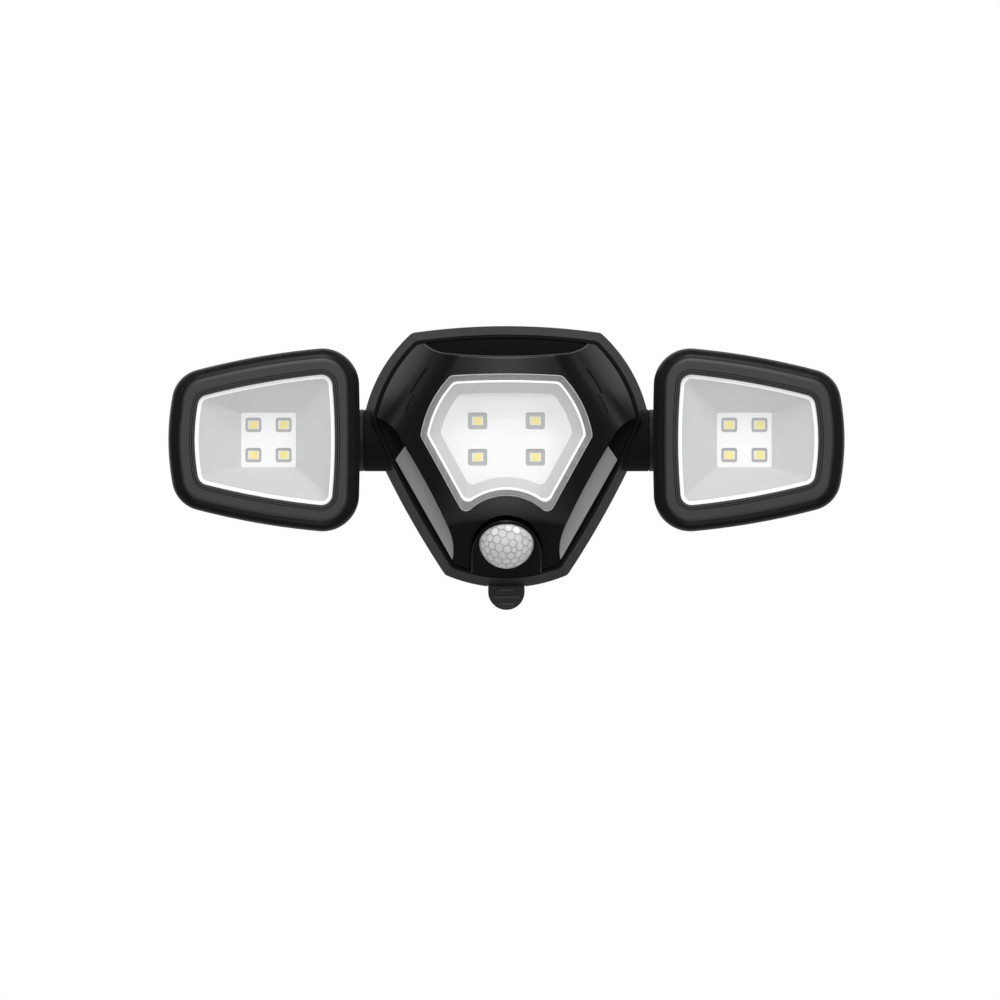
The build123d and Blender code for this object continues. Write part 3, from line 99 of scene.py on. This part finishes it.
# The room lights the piece softly, and shows white to the camera, in reflections and
# through clear plastic.
room = bpy.data.worlds.new("white_room")
room.use_nodes = True
bpy.context.scene.world = room
tree = room.node_tree
fill = tree.nodes["Background"]
put(fill, {"Color": (1, 1, 1, 1), "Strength": 0.30})
white = add(tree, "Background")
put(white, {"Color": (1, 1, 1, 1), "Strength": 1.0})
rays = add(tree, "LightPath").outputs
seen = combine(tree, "MAXIMUM", rays["Is Camera Ray"], rays["Is Glossy Ray"])
seen_or_through = combine(tree, "MAXIMUM", seen, rays["Is Transmission Ray"])
choice = add(tree, "MixShader")
feed(tree, seen_or_through, choice.inputs["Fac"])
feed(tree, fill.outputs["Background"], choice.inputs[1])
feed(tree, white.outputs["Background"], choice.inputs[2])
feed(tree, choice.outputs["Shader"], tree.nodes["World Output"].inputs["Surface"])


def soft_box(name, place, width, height, watts):
    """An area lamp that faces the middle of the light's front."""
    target = (0, -0.03, 0)
    bpy.ops.object.light_add(type="AREA", location=place)
    lamp = bpy.context.object
    lamp.name = name
    lamp.data.shape = "RECTANGLE"
    lamp.data.size = width
    lamp.data.size_y = height
    lamp.data.energy = watts
    aim = Vector(target) - Vector(place)
    lamp.rotation_euler = aim.to_track_quat("-Z", "Y").to_euler()


soft_box("overhead_box", place=(0.0, -0.75, 1.1), width=1.2, height=0.35, watts=7)
soft_box("right_box", place=(1.05, -0.8, 0.75), width=0.35, height=0.8, watts=6.5)
soft_box("left_box", place=(-1.05, -0.8, 0.75), width=0.35, height=0.8, watts=3.2)
soft_box("front_box", place=(0.0, -2.2, 0.95), width=0.9, height=0.6, watts=19)

view_middle = (-0.0029, -0.045, -0.027)  # the point at the photograph's middle
view_width = 0.450  # what its width spans there, in metres
sensor_width = 36  # of the camera, in millimetres like its lens
focal_length = 300
view_distance = view_width * focal_length / sensor_width
bpy.ops.object.camera_add(
    location=(view_middle[0], view_middle[1] - view_distance, view_middle[2]),
    rotation=(pi / 2, 0, 0),
)
camera = bpy.context.object
camera.name = "camera"
camera.data.lens = focal_length
camera.data.clip_end = 50
bpy.context.scene.camera = camera
bpy.context.scene.view_settings.view_transform = "Standard"

# ----------------------------------------------------------- housing and battery door
# Black plastic, injection moulded in spark-eroded tools, which leaves a fine satin
# grain. They gather a little dust on top, as all of the light's black pieces do.


def new_group(name, inputs, outputs):
    """A node group with number sockets, and its input and output nodes."""
    group = bpy.data.node_groups.new(name, "ShaderNodeTree")
    for socket, value in inputs.items():
        made = group.interface.new_socket(
            name=socket, in_out="INPUT", socket_type="NodeSocketFloat"
        )
        made.default_value = value
    for socket in outputs:
        group.interface.new_socket(
            name=socket, in_out="OUTPUT", socket_type="NodeSocketFloat"
        )
    return group, group.nodes.new("NodeGroupInput"), group.nodes.new("NodeGroupOutput")


def graded(tree, source, low, high, at_low=0.0, at_high=1.0):
    """A value mapped from low..high to at_low..at_high, clamped."""
    node = add(tree, "MapRange")
    put(node, {"From Min": low, "From Max": high, "To Min": at_low, "To Max": at_high})
    feed(tree, source, node.inputs["Value"])
    return node.outputs["Result"]


def parts(tree, vector):
    """The X, Y and Z outputs of a vector."""
    node = add(tree, "SeparateXYZ")
    feed(tree, vector, node.inputs[0])
    return node.outputs


def mixed(tree, factor, first, second):
    """A colour between two colours, each an output or a plain colour."""
    node = add(tree, "Mix", data_type="RGBA")
    feed(tree, factor, node.inputs["Factor"])
    feed(tree, first, node.inputs["A"])
    feed(tree, second, node.inputs["B"])
    return node.outputs["Result"]


def noise(tree, spot, scale, **values):
    """Noise in the piece's own space."""
    node = add(tree, "TexNoise")
    feed(tree, spot, node.inputs["Vector"])
    feed(tree, scale, node.inputs["Scale"])
    put(node, values)
    return node.outputs["Fac"]


def bumped(tree, height, shader, strength, distance):
    """Raises a shader's surface by a height."""
    node = add(tree, "Bump")
    put(node, {"Strength": strength, "Distance": distance})
    feed(tree, height, node.inputs["Height"])
    feed(tree, node.outputs["Normal"], shader.inputs["Normal"])


def placed(tree, group, values):
    """A node group set in a material, and its outputs."""
    node = add(tree, "Group", node_tree=group)
    put(node, values)
    return node.outputs


# Fine grain: a height for bump, and a roughness that wanders a little over the piece.
grain, entry, leave = new_group(
    "moulded_grain",
    {"Grain Size": 0.0004, "Roughness": 0.4, "Unevenness": 0.05},
    ["Height", "Roughness"],
)
place = add(grain, "TexCoord").outputs
per_metre = combine(grain, "DIVIDE", 1.0, entry.outputs["Grain Size"])
fine = noise(grain, place["Object"], scale=per_metre, Detail=2.0)
broad = noise(grain, place["Object"], scale=38.0, Detail=3.0)
centred = combine(grain, "SUBTRACT", broad, 0.5)
wandering = combine(
    grain,
    "MULTIPLY_ADD",
    centred,
    entry.outputs["Unevenness"],
    entry.outputs["Roughness"],
)
feed(grain, fine, leave.inputs["Height"])
feed(grain, wandering, leave.inputs["Roughness"])

# Dust: a mask that is strongest on faces that look up, broken up by fine noise.
dust, entry, leave = new_group("settled_dust", {"Amount": 0.2}, ["Mask"])
place = add(dust, "TexCoord").outputs
upward = graded(dust, parts(dust, place["Normal"])["Z"], low=0.25, high=1.0)
specks = noise(dust, place["Object"], scale=420.0, Detail=4.0)
patchy = graded(dust, specks, low=0.42, high=0.72)
both = combine(dust, "MULTIPLY", upward, patchy)
mask = combine(dust, "MULTIPLY", both, entry.outputs["Amount"])
feed(dust, mask, leave.inputs["Mask"])


def moulded(name, colour, roughness, gloss, grain_size, grain_depth, dustiness):
    """Moulded plastic or rubber with a fine grain, and dust on its top faces."""
    material, tree, shader = new_material(name)
    shader.inputs["Specular IOR Level"].default_value = gloss
    surface = placed(
        tree,
        grain,
        {"Grain Size": grain_size, "Roughness": roughness, "Unevenness": 0.08},
    )
    film = placed(tree, dust, {"Amount": dustiness})
    dust_grey = (0.32, 0.31, 0.29, 1)
    tone = mixed(tree, film["Mask"], (*colour, 1), dust_grey)
    feed(tree, tone, shader.inputs["Base Color"])
    feed(tree, surface["Roughness"], shader.inputs["Roughness"])
    bumped(tree, surface["Height"], shader, strength=0.35, distance=grain_depth)
    return material


def dress(material, *names):
    """Gives these CAD nodes this material in place of their own."""
    for name in names:
        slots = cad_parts[name].data.materials
        slots.clear()
        slots.append(material)


housing_black = moulded(
    "housing_black", colour=(0.008, 0.008, 0.0084), roughness=0.58, gloss=0.03,
    grain_size=0.00035, grain_depth=0.00003, dustiness=0.03,
)
dress(housing_black, "rear_housing", "battery_door")

# ---------------------------------------------------------------------- release latch
# A slide of black nylon in the housing's rails, with a tongue behind the bracket's bar.
# Its tab shows under the body; its three ridges are painted paler, a painted highlight.
latch_black = moulded(
    "latch_black", colour=(0.016, 0.016, 0.0165), roughness=0.4, gloss=0.25,
    grain_size=0.00035, grain_depth=0.00003, dustiness=0.05,
)
tab_face = -0.0060
ridge_top = -0.0062
ridge_highlight_grey = (0.045, 0.045, 0.046, 1)
tree = latch_black.node_tree
shader = tree.nodes["Principled BSDF"]
moulded_tone = shader.inputs["Base Color"].links[0].from_socket
depth = parts(tree, add(tree, "TexCoord").outputs["Object"])["Y"]
# The ridges' tops take a paler grey, a painted highlight.
raised = graded(tree, depth, low=tab_face, high=ridge_top)
ridge_highlight = mixed(tree, raised, moulded_tone, ridge_highlight_grey)
feed(tree, ridge_highlight, shader.inputs["Base Color"])
dress(latch_black, "release_latch")

# ----------------------------------------------------------------------- wall bracket
# A flat plate of black nylon, screwed to the wall, with two hooks that carry the
# light and a bar that its latch catches behind.
bracket_black = moulded(
    "bracket_black", colour=(0.008, 0.008, 0.0085), roughness=0.5, gloss=0.15,
    grain_size=0.0005, grain_depth=0.00004, dustiness=0.08,
)
dress(bracket_black, "wall_bracket")

# ----------------------------------------------------------- front cover and its hood
# The same black plastic from finer tools, held on the housing by four screws. A painted
# reflection, a coat of gloss, lies where a face is square to the front and along the
# soft flanks, and is kept out of the pits of the scoops.
reflection_paint, entry, leave = new_group(
    "painted_reflection_faces",
    {
        "Flats": 0.8, "Flanks": 0.8, "Brows": 0.8,
        "Bevels": 0.0, "Rolls": 0.0, "Pit Depth": -0.0404,
    },
    ["Sheen"],
)
amount = entry.outputs
place = add(reflection_paint, "TexCoord").outputs
turn = parts(reflection_paint, place["Normal"])
depth = parts(reflection_paint, place["Object"])["Y"]
sideways = combine(reflection_paint, "ABSOLUTE", turn["X"])
frontal = combine(reflection_paint, "ABSOLUTE", turn["Y"])
square_on = combine(
    reflection_paint,
    "MULTIPLY",
    graded(reflection_paint, frontal, low=0.8, high=0.998),
    graded(reflection_paint, sideways, low=0.2, high=0.02),
)
flats = combine(reflection_paint, "MULTIPLY", square_on, amount["Flats"])
# The painted reflection on the flanks fades towards the front of the cover. The brows
# face upwards, the bevels are the narrow edges at the very front of a head, and the
# rolls its round sides; each takes a painted highlight.
flank_tilt = combine(
    reflection_paint,
    "MULTIPLY",
    graded(reflection_paint, sideways, low=0.25, high=0.68),
    graded(reflection_paint, depth, low=-0.0575, high=-0.0425),
)
flanks = combine(reflection_paint, "MULTIPLY", flank_tilt, amount["Flanks"])
brows = combine(
    reflection_paint, "MULTIPLY", graded(reflection_paint, turn["Z"], low=0.45, high=0.7), amount["Brows"]
)
near_front = combine(
    reflection_paint,
    "MULTIPLY",
    graded(reflection_paint, depth, low=-0.0570, high=-0.0571),
    graded(reflection_paint, frontal, low=0.8, high=0.75),
)
bevels = combine(reflection_paint, "MULTIPLY", near_front, amount["Bevels"])
rolls = combine(
    reflection_paint, "MULTIPLY", graded(reflection_paint, frontal, low=0.62, high=0.45), amount["Rolls"]
)
faces_out = combine(reflection_paint, "MAXIMUM", flats, flanks)
edges_out = combine(reflection_paint, "MAXIMUM", combine(reflection_paint, "MAXIMUM", brows, bevels), rolls)
brightest = combine(reflection_paint, "MAXIMUM", faces_out, edges_out)
# The floors of the scoops lie behind the pit depth, and their walls run nearly
# straight back; the painted reflection is kept off both.
low_down = combine(reflection_paint, "SUBTRACT", depth, amount["Pit Depth"])
floors = combine(
    reflection_paint,
    "MULTIPLY",
    graded(reflection_paint, low_down, low=0.0, high=0.0002),
    graded(reflection_paint, frontal, low=0.9, high=0.97),
)
pits = combine(reflection_paint, "MAXIMUM", floors, graded(reflection_paint, frontal, low=0.2, high=0.08))
open_part = combine(reflection_paint, "SUBTRACT", 1.0, pits)
sheen = combine(reflection_paint, "MULTIPLY", brightest, open_part)
feed(reflection_paint, sheen, leave.inputs["Sheen"])


def with_painted_reflection(material, roughness, **amounts):
    """Adds a painted reflection to a moulded material, a coat of gloss keyed to its
    faces' tilt.
    """
    tree = material.node_tree
    shader = tree.nodes["Principled BSDF"]
    values = {name.replace("_", " ").title(): value for name, value in amounts.items()}
    sheen = placed(tree, reflection_paint, values)
    shader.inputs["Coat Roughness"].default_value = roughness
    feed(tree, sheen["Sheen"], shader.inputs["Coat Weight"])


cover_black = moulded(
    "cover_black", colour=(0.005, 0.005, 0.0052), roughness=0.42, gloss=0.03,
    grain_size=0.0003, grain_depth=0.00002, dustiness=0.04,
)
with_painted_reflection(
    cover_black, roughness=0.3, flats=0.72, flanks=1.0, brows=0.6, bevels=0.0, rolls=0.0,
    pit_depth=-0.0404,
)
dress(cover_black, "front_cover", "sensor_hood")

# ------------------------------------------------------------------------ trim panels
# Two satin panels of grey plastic, which clip into the lower scoops of the cover and
# close them with a flat facet each.
trim_grey = moulded(
    "trim_grey", colour=(0.24, 0.24, 0.242), roughness=0.4, gloss=0.35,
    grain_size=0.0003, grain_depth=0.00002, dustiness=0.02,
)
dress(trim_grey, "left_trim_panel", "right_trim_panel")

# ------------------------------------------------------------------------------- arms
# Moulded barrels of black plastic. Each turns in its boss of the housing on a washer of
# white acetal, which makes it firm, and a ring pressed on its end keeps it there.
arm_black = moulded(
    "arm_black", colour=(0.009, 0.009, 0.0093), roughness=0.45, gloss=0.15,
    grain_size=0.00035, grain_depth=0.00003, dustiness=0.05,
)
dress(
    arm_black,
    "left_swivel_arm", "right_swivel_arm", "left_retaining_ring", "right_retaining_ring",
)
washer_white = moulded(
    "washer_white", colour=(0.7, 0.69, 0.63), roughness=0.35, gloss=0.4,
    grain_size=0.0006, grain_depth=0.00001, dustiness=0.0,
)
dress(washer_white, "left_friction_washer", "right_friction_washer")

# ------------------------------------------------------------------------------ heads
# Each head is a frame screwed to a rear shell, both of the cover's black plastic. The
# shell swings on a bolt through the arm's knuckle.
head_black = moulded(
    "head_black", colour=(0.006, 0.006, 0.0063), roughness=0.4, gloss=0.04,
    grain_size=0.0003, grain_depth=0.00002, dustiness=0.04,
)
# A painted reflection on the heads' square front faces, and painted highlights on their
# front bevels and round sides.
with_painted_reflection(
    head_black, roughness=0.4, flats=0.8, flanks=0.0, brows=0.0, bevels=1.0, rolls=0.4,
    pit_depth=-0.0579,
)
dress(
    head_black,
    "left_head_frame", "right_head_frame", "left_head_shell", "right_head_shell",
)

# ------------------------------------------------------------------------------ seals
# Black silicone strips lie in grooves round the cover, the arms and the battery door.
# The strips under the lenses are paler grey, a painted reflection of the lens rims.
seal_black = moulded(
    "seal_black", colour=(0.016, 0.016, 0.016), roughness=0.7, gloss=0.2,
    grain_size=0.0004, grain_depth=0.00004, dustiness=0.0,
)
dress(seal_black, "cover_seal", "door_seal", "left_arm_seal", "right_arm_seal")
seal_reflection_grey = moulded(
    "seal_reflection_grey", colour=(0.13, 0.13, 0.133), roughness=0.6, gloss=0.3,
    grain_size=0.0004, grain_depth=0.00004, dustiness=0.0,
)
dress(seal_reflection_grey, "centre_lens_seal", "left_head_lens_seal", "right_head_lens_seal")

# ------------------------------------------------------------------- white reflectors
# Bowls of white plastic behind each lens, moulded with windows for the lamps and rows
# of dimples on the slanting walls. The walls are painted grey as painted shade, and the
# front edges glow faintly, a painted highlight.
dimple_pitch = 0.0011
dimples, entry, leave = new_group(
    "dimpled_walls", {"Pitch": dimple_pitch}, ["Wall", "Dimple", "Rim"]
)
place = add(dimples, "TexCoord").outputs
frontal = combine(dimples, "ABSOLUTE", parts(dimples, place["Normal"])["Y"])
depth = parts(dimples, place["Object"])["Y"]
rows = add(dimples, "TexVoronoi")
rows.inputs["Randomness"].default_value = 0.0
per_metre = combine(dimples, "DIVIDE", 1.0, entry.outputs["Pitch"])
feed(dimples, per_metre, rows.inputs["Scale"])
feed(dimples, place["Object"], rows.inputs["Vector"])
rim = combine(
    dimples,
    "MULTIPLY",
    graded(dimples, depth, low=-0.0504, high=-0.0508),
    graded(dimples, frontal, low=0.9, high=0.96),
)
feed(dimples, graded(dimples, frontal, low=0.97, high=0.9), leave.inputs["Wall"])
feed(dimples, rows.outputs["Distance"], leave.inputs["Dimple"])
feed(dimples, rim, leave.inputs["Rim"])

reflector_white, tree, shader = new_material("reflector_white")
put(shader, {"Roughness": 0.32, "Specular IOR Level": 0.3, "Emission Strength": 1.0})
floor_white = (0.97, 0.97, 0.97, 1)
# The slanting walls take darker greys, painted shade.
shaded_wall_greys = (0.51, 0.51, 0.512, 1), (0.58, 0.58, 0.582, 1)
walls = placed(tree, dimples, {"Pitch": dimple_pitch})
shaded_speckle = mixed(tree, walls["Dimple"], *shaded_wall_greys)
feed(tree, mixed(tree, walls["Wall"], floor_white, shaded_speckle), shader.inputs["Base Color"])
bumped(tree, walls["Dimple"], shader, strength=0.2, distance=0.00005)
# The front edge glows faintly, a painted highlight that shows it as a white line.
no_glow = (0, 0, 0, 1)
painted_rim_glow = (0.3, 0.3, 0.3, 1)
painted_glow = mixed(tree, walls["Rim"], no_glow, painted_rim_glow)
feed(tree, painted_glow, shader.inputs["Emission Color"])
dress(reflector_white, "centre_reflector", "left_head_reflector", "right_head_reflector")

# -------------------------------------------------------------------------- the lamps
# White ceramic packages, each with a square of yellow phosphor, soldered to circuit
# boards with a pale mask.
board_white = moulded(
    "board_white", colour=(0.42, 0.42, 0.42), roughness=0.4, gloss=0.4,
    grain_size=0.0006, grain_depth=0.00001, dustiness=0.0,
)
dress(board_white, "centre_led_board", "left_head_led_board", "right_head_led_board")
lamp_white = moulded(
    "lamp_white", colour=(0.82, 0.82, 0.8), roughness=0.35, gloss=0.4,
    grain_size=0.0005, grain_depth=0.00001, dustiness=0.0,
)
dress(lamp_white, "centre_leds", "left_head_leds", "right_head_leds")
phosphor_yellow = moulded(
    "phosphor_yellow", colour=(0.95, 0.8, 0.1), roughness=0.45, gloss=0.3,
    grain_size=0.00015, grain_depth=0.00001, dustiness=0.0,
)
dress(
    phosphor_yellow,
    "centre_led_phosphors", "left_head_led_phosphors", "right_head_led_phosphors",
)

# ------------------------------------------------------------------------- the lenses
# Clear polycarbonate, clamped on its seal. It lets the lamps' light out and shows the
# white bowls behind it. Its rounded edge is made less clear, a painted highlight.
lens_clear, tree, shader = new_material("lens_clear")
put(shader, {"Base Color": (0.8, 0.81, 0.82, 1), "Roughness": 0.12, "IOR": 1.58})
turn = parts(tree, add(tree, "TexCoord").outputs["Normal"])
frontal = combine(tree, "ABSOLUTE", turn["Y"])
edge_highlight = graded(tree, frontal, low=0.94, high=0.7, at_low=0.14, at_high=0.6)
feed(tree, edge_highlight, shader.inputs["Alpha"])
dress(lens_clear, "centre_lens", "left_head_lens", "right_head_lens")

# ----------------------------------------------------------------- motion sensor dome
# A milky dome of polyethylene, moulded in small six-sided lenses with bevelled borders,
# which are painted greyer as painted shade. It droops out of the hood, which trims it to
# an arch.
dome_white, tree, shader = new_material("dome_white")
put(
    shader,
    {
        "Roughness": 0.14, "Subsurface Weight": 0.35,
        "Subsurface Radius": (0.0012, 0.0012, 0.0012), "Specular IOR Level": 0.5,
    },
)
milk_greys = (0.44, 0.445, 0.45, 1), (0.66, 0.665, 0.67, 1)
# The borders take a darker grey, painted shade.
border_shade_grey = (0.36, 0.365, 0.37, 1)
cloud = noise(tree, add(tree, "TexCoord").outputs["Object"], scale=260.0)
milk = mixed(tree, cloud, *milk_greys)
borders = add(tree, "Attribute", attribute_name="seam")
outlined = mixed(tree, borders.outputs["Fac"], milk, border_shade_grey)
feed(tree, outlined, shader.inputs["Base Color"])

dome_middle = Vector((0.0, -0.04965, -0.04539))
dome_radius = 0.0123
dome_wall = 0.0008
sensor_axis = Vector((0.0, -0.74314, -0.66913))
cut_below_middle = 0.00065  # where the dome ends, along its axis
cell_turn = radians(-48)  # brings the ball's rows of cells in line with that axis
border_width = 0.00034
border_rise = 0.00022
arch_radius = 0.01478
arch_height = -0.05175
arch_front = -0.06
arch_depth = 0.08
skirt_height = 0.04
bpy.ops.object.select_all(action="DESELECT")
bpy.ops.mesh.primitive_ico_sphere_add(
    subdivisions=3, radius=dome_radius, location=(0, 0, 0)
)
dome = bpy.context.object
dome.name = "faceted_dome"
# Every corner of the ball becomes a six-sided lens between the middles of its faces.
ball = bmesh.new()
ball.from_mesh(dome.data)
cells = bmesh.new()
middles = {}
for face in ball.faces:
    middle = face.calc_center_median().normalized() * dome_radius
    middles[face.index] = cells.verts.new(middle)
for corner in ball.verts:
    loop = corner.link_loops[0]
    ring = [loop.face]
    while True:
        loop = loop.link_loop_prev.link_loop_radial_next
        if loop.face == ring[0]:
            break
        ring.append(loop.face)
    cells.faces.new([middles[face.index] for face in ring])
cells.to_mesh(dome.data)
ball.free()
cells.free()
bpy.ops.object.mode_set(mode="EDIT")
bpy.ops.mesh.select_all(action="SELECT")
bpy.ops.mesh.normals_make_consistent(inside=False)
bpy.ops.mesh.inset(thickness=border_width, depth=border_rise, use_individual=True)
bpy.ops.mesh.select_all(action="SELECT")
bpy.ops.transform.rotate(value=cell_turn, orient_axis="X", center_override=(0, 0, 0))
bpy.ops.transform.translate(value=dome_middle)
bpy.ops.object.mode_set(mode="OBJECT")

# The hood's arch, a round top on straight sides, keeps what lies inside it.
bpy.ops.mesh.primitive_cylinder_add(
    vertices=128, radius=arch_radius, depth=arch_depth,
    location=(0, arch_front, arch_height), rotation=(pi / 2, 0, 0),
)
arch = bpy.context.object
bpy.ops.mesh.primitive_cube_add(
    size=1, location=(0, arch_front, arch_height - skirt_height / 2)
)
skirt = bpy.context.object
skirt.scale = (2 * arch_radius, arch_depth, skirt_height)


def shape_with(piece, operation, other):
    """Joins another object to a piece, or cuts the piece to it."""
    cut = piece.modifiers.new("cut", "BOOLEAN")
    cut.operation = operation
    cut.object = other
    cut.solver = "EXACT"
    bpy.context.view_layer.objects.active = piece
    bpy.ops.object.modifier_apply(modifier=cut.name)


shape_with(arch, "UNION", skirt)
shape_with(dome, "INTERSECT", arch)
for cutter in (arch, skirt):
    bpy.data.objects.remove(cutter)
bpy.ops.object.select_all(action="DESELECT")
dome.select_set(True)
bpy.ops.object.mode_set(mode="EDIT")
bpy.ops.mesh.select_all(action="SELECT")
bpy.ops.mesh.bisect(
    plane_co=dome_middle - sensor_axis * cut_below_middle,
    plane_no=sensor_axis,
    clear_inner=True,
)
bpy.ops.object.mode_set(mode="OBJECT")
wall = dome.modifiers.new("wall", "SOLIDIFY")
wall.thickness = dome_wall
wall.offset = -1
bpy.ops.object.modifier_apply(modifier="wall")
bpy.ops.object.shade_smooth_by_angle(angle=radians(12))
# The borders are marked by their tilt from the ball.
least_upright = 0.95
seam = dome.data.attributes.new("seam", "FLOAT", "FACE")
for face in dome.data.polygons:
    upright = abs(face.normal.dot((face.center - dome_middle).normalized()))
    seam.data[face.index].value = 0.0 if upright > least_upright else 1.0
dome.data.materials.clear()
dome.data.materials.append(dome_white)
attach(dome, "body")
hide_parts("sensor_dome")

# ----------------------------------------------------------------------- latch spring
# A coil of nickel-plated wire on the housing's peg, which pushes the latch up. It is a
# copy of its node with its doubled points merged; pulling the latch shortens the real
# spring to 0.54 of its height.
# The battery's contacts, the detector's can and the switch are plated like it.


def plated(name, colour, roughness):
    """Plated metal with a faint unevenness."""
    material = moulded(
        name, colour, roughness, gloss=0.5,
        grain_size=0.0004, grain_depth=0.00001, dustiness=0.0,
    )
    material.node_tree.nodes["Principled BSDF"].inputs["Metallic"].default_value = 1.0
    return material


nickel = plated("nickel_plate", colour=(0.72, 0.69, 0.62), roughness=0.2)
dress(nickel, "battery_contacts", "latch_spring", "motion_detector", "mode_switch")
same_point = 0.000001
bpy.ops.object.select_all(action="DESELECT")
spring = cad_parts["latch_spring"].copy()
spring.data = spring.data.copy()
spring.name = "sprung_coil"
bpy.context.collection.objects.link(spring)
bpy.context.view_layer.objects.active = spring
spring.select_set(True)
bpy.ops.object.mode_set(mode="EDIT")
bpy.ops.mesh.select_all(action="SELECT")
bpy.ops.mesh.remove_doubles(threshold=same_point)
bpy.ops.object.mode_set(mode="OBJECT")
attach(spring, "body")
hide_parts("latch_spring")
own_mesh(spring)

# ------------------------------------------------------------- screws, bolts and nuts
# Zinc-plated steel. The screws hold the cover, the door and the heads from behind, and
# a bolt with a nut goes through each head's hinge.
zinc = plated("zinc_plate", colour=(0.36, 0.37, 0.39), roughness=0.36)
dress(
    zinc, "door_screws", "cover_screws", "left_head_screws", "right_head_screws",
    "left_hinge_pin", "right_hinge_pin", "left_hinge_nut", "right_hinge_nut",
)

# ------------------------------------------------------ battery cells and electronics
# Cells and capacitors in printed sleeves, green circuit boards, the detector's dark
# filter, the dusk sensor's amber resin and the black lever of the switch.
sleeve = moulded(
    "cell_sleeve", colour=(0.03, 0.035, 0.05), roughness=0.25, gloss=0.5,
    grain_size=0.0008, grain_depth=0.00001, dustiness=0.0,
)
dress(sleeve, "battery_cells", "board_capacitors")
board_green = moulded(
    "board_green", colour=(0.02, 0.12, 0.045), roughness=0.32, gloss=0.5,
    grain_size=0.0005, grain_depth=0.00001, dustiness=0.0,
)
dress(board_green, "control_board", "sensor_board")
filter_dark = moulded(
    "filter_dark", colour=(0.02, 0.018, 0.025), roughness=0.12, gloss=0.5,
    grain_size=0.0008, grain_depth=0.00001, dustiness=0.0,
)
dress(filter_dark, "detector_window")
amber = moulded(
    "amber_resin", colour=(0.55, 0.2, 0.06), roughness=0.15, gloss=0.5,
    grain_size=0.0008, grain_depth=0.00001, dustiness=0.0,
)
dress(amber, "photocell")
lever_black = moulded(
    "lever_black", colour=(0.02, 0.02, 0.02), roughness=0.4, gloss=0.4,
    grain_size=0.0004, grain_depth=0.00002, dustiness=0.0,
)
dress(lever_black, "mode_slider")
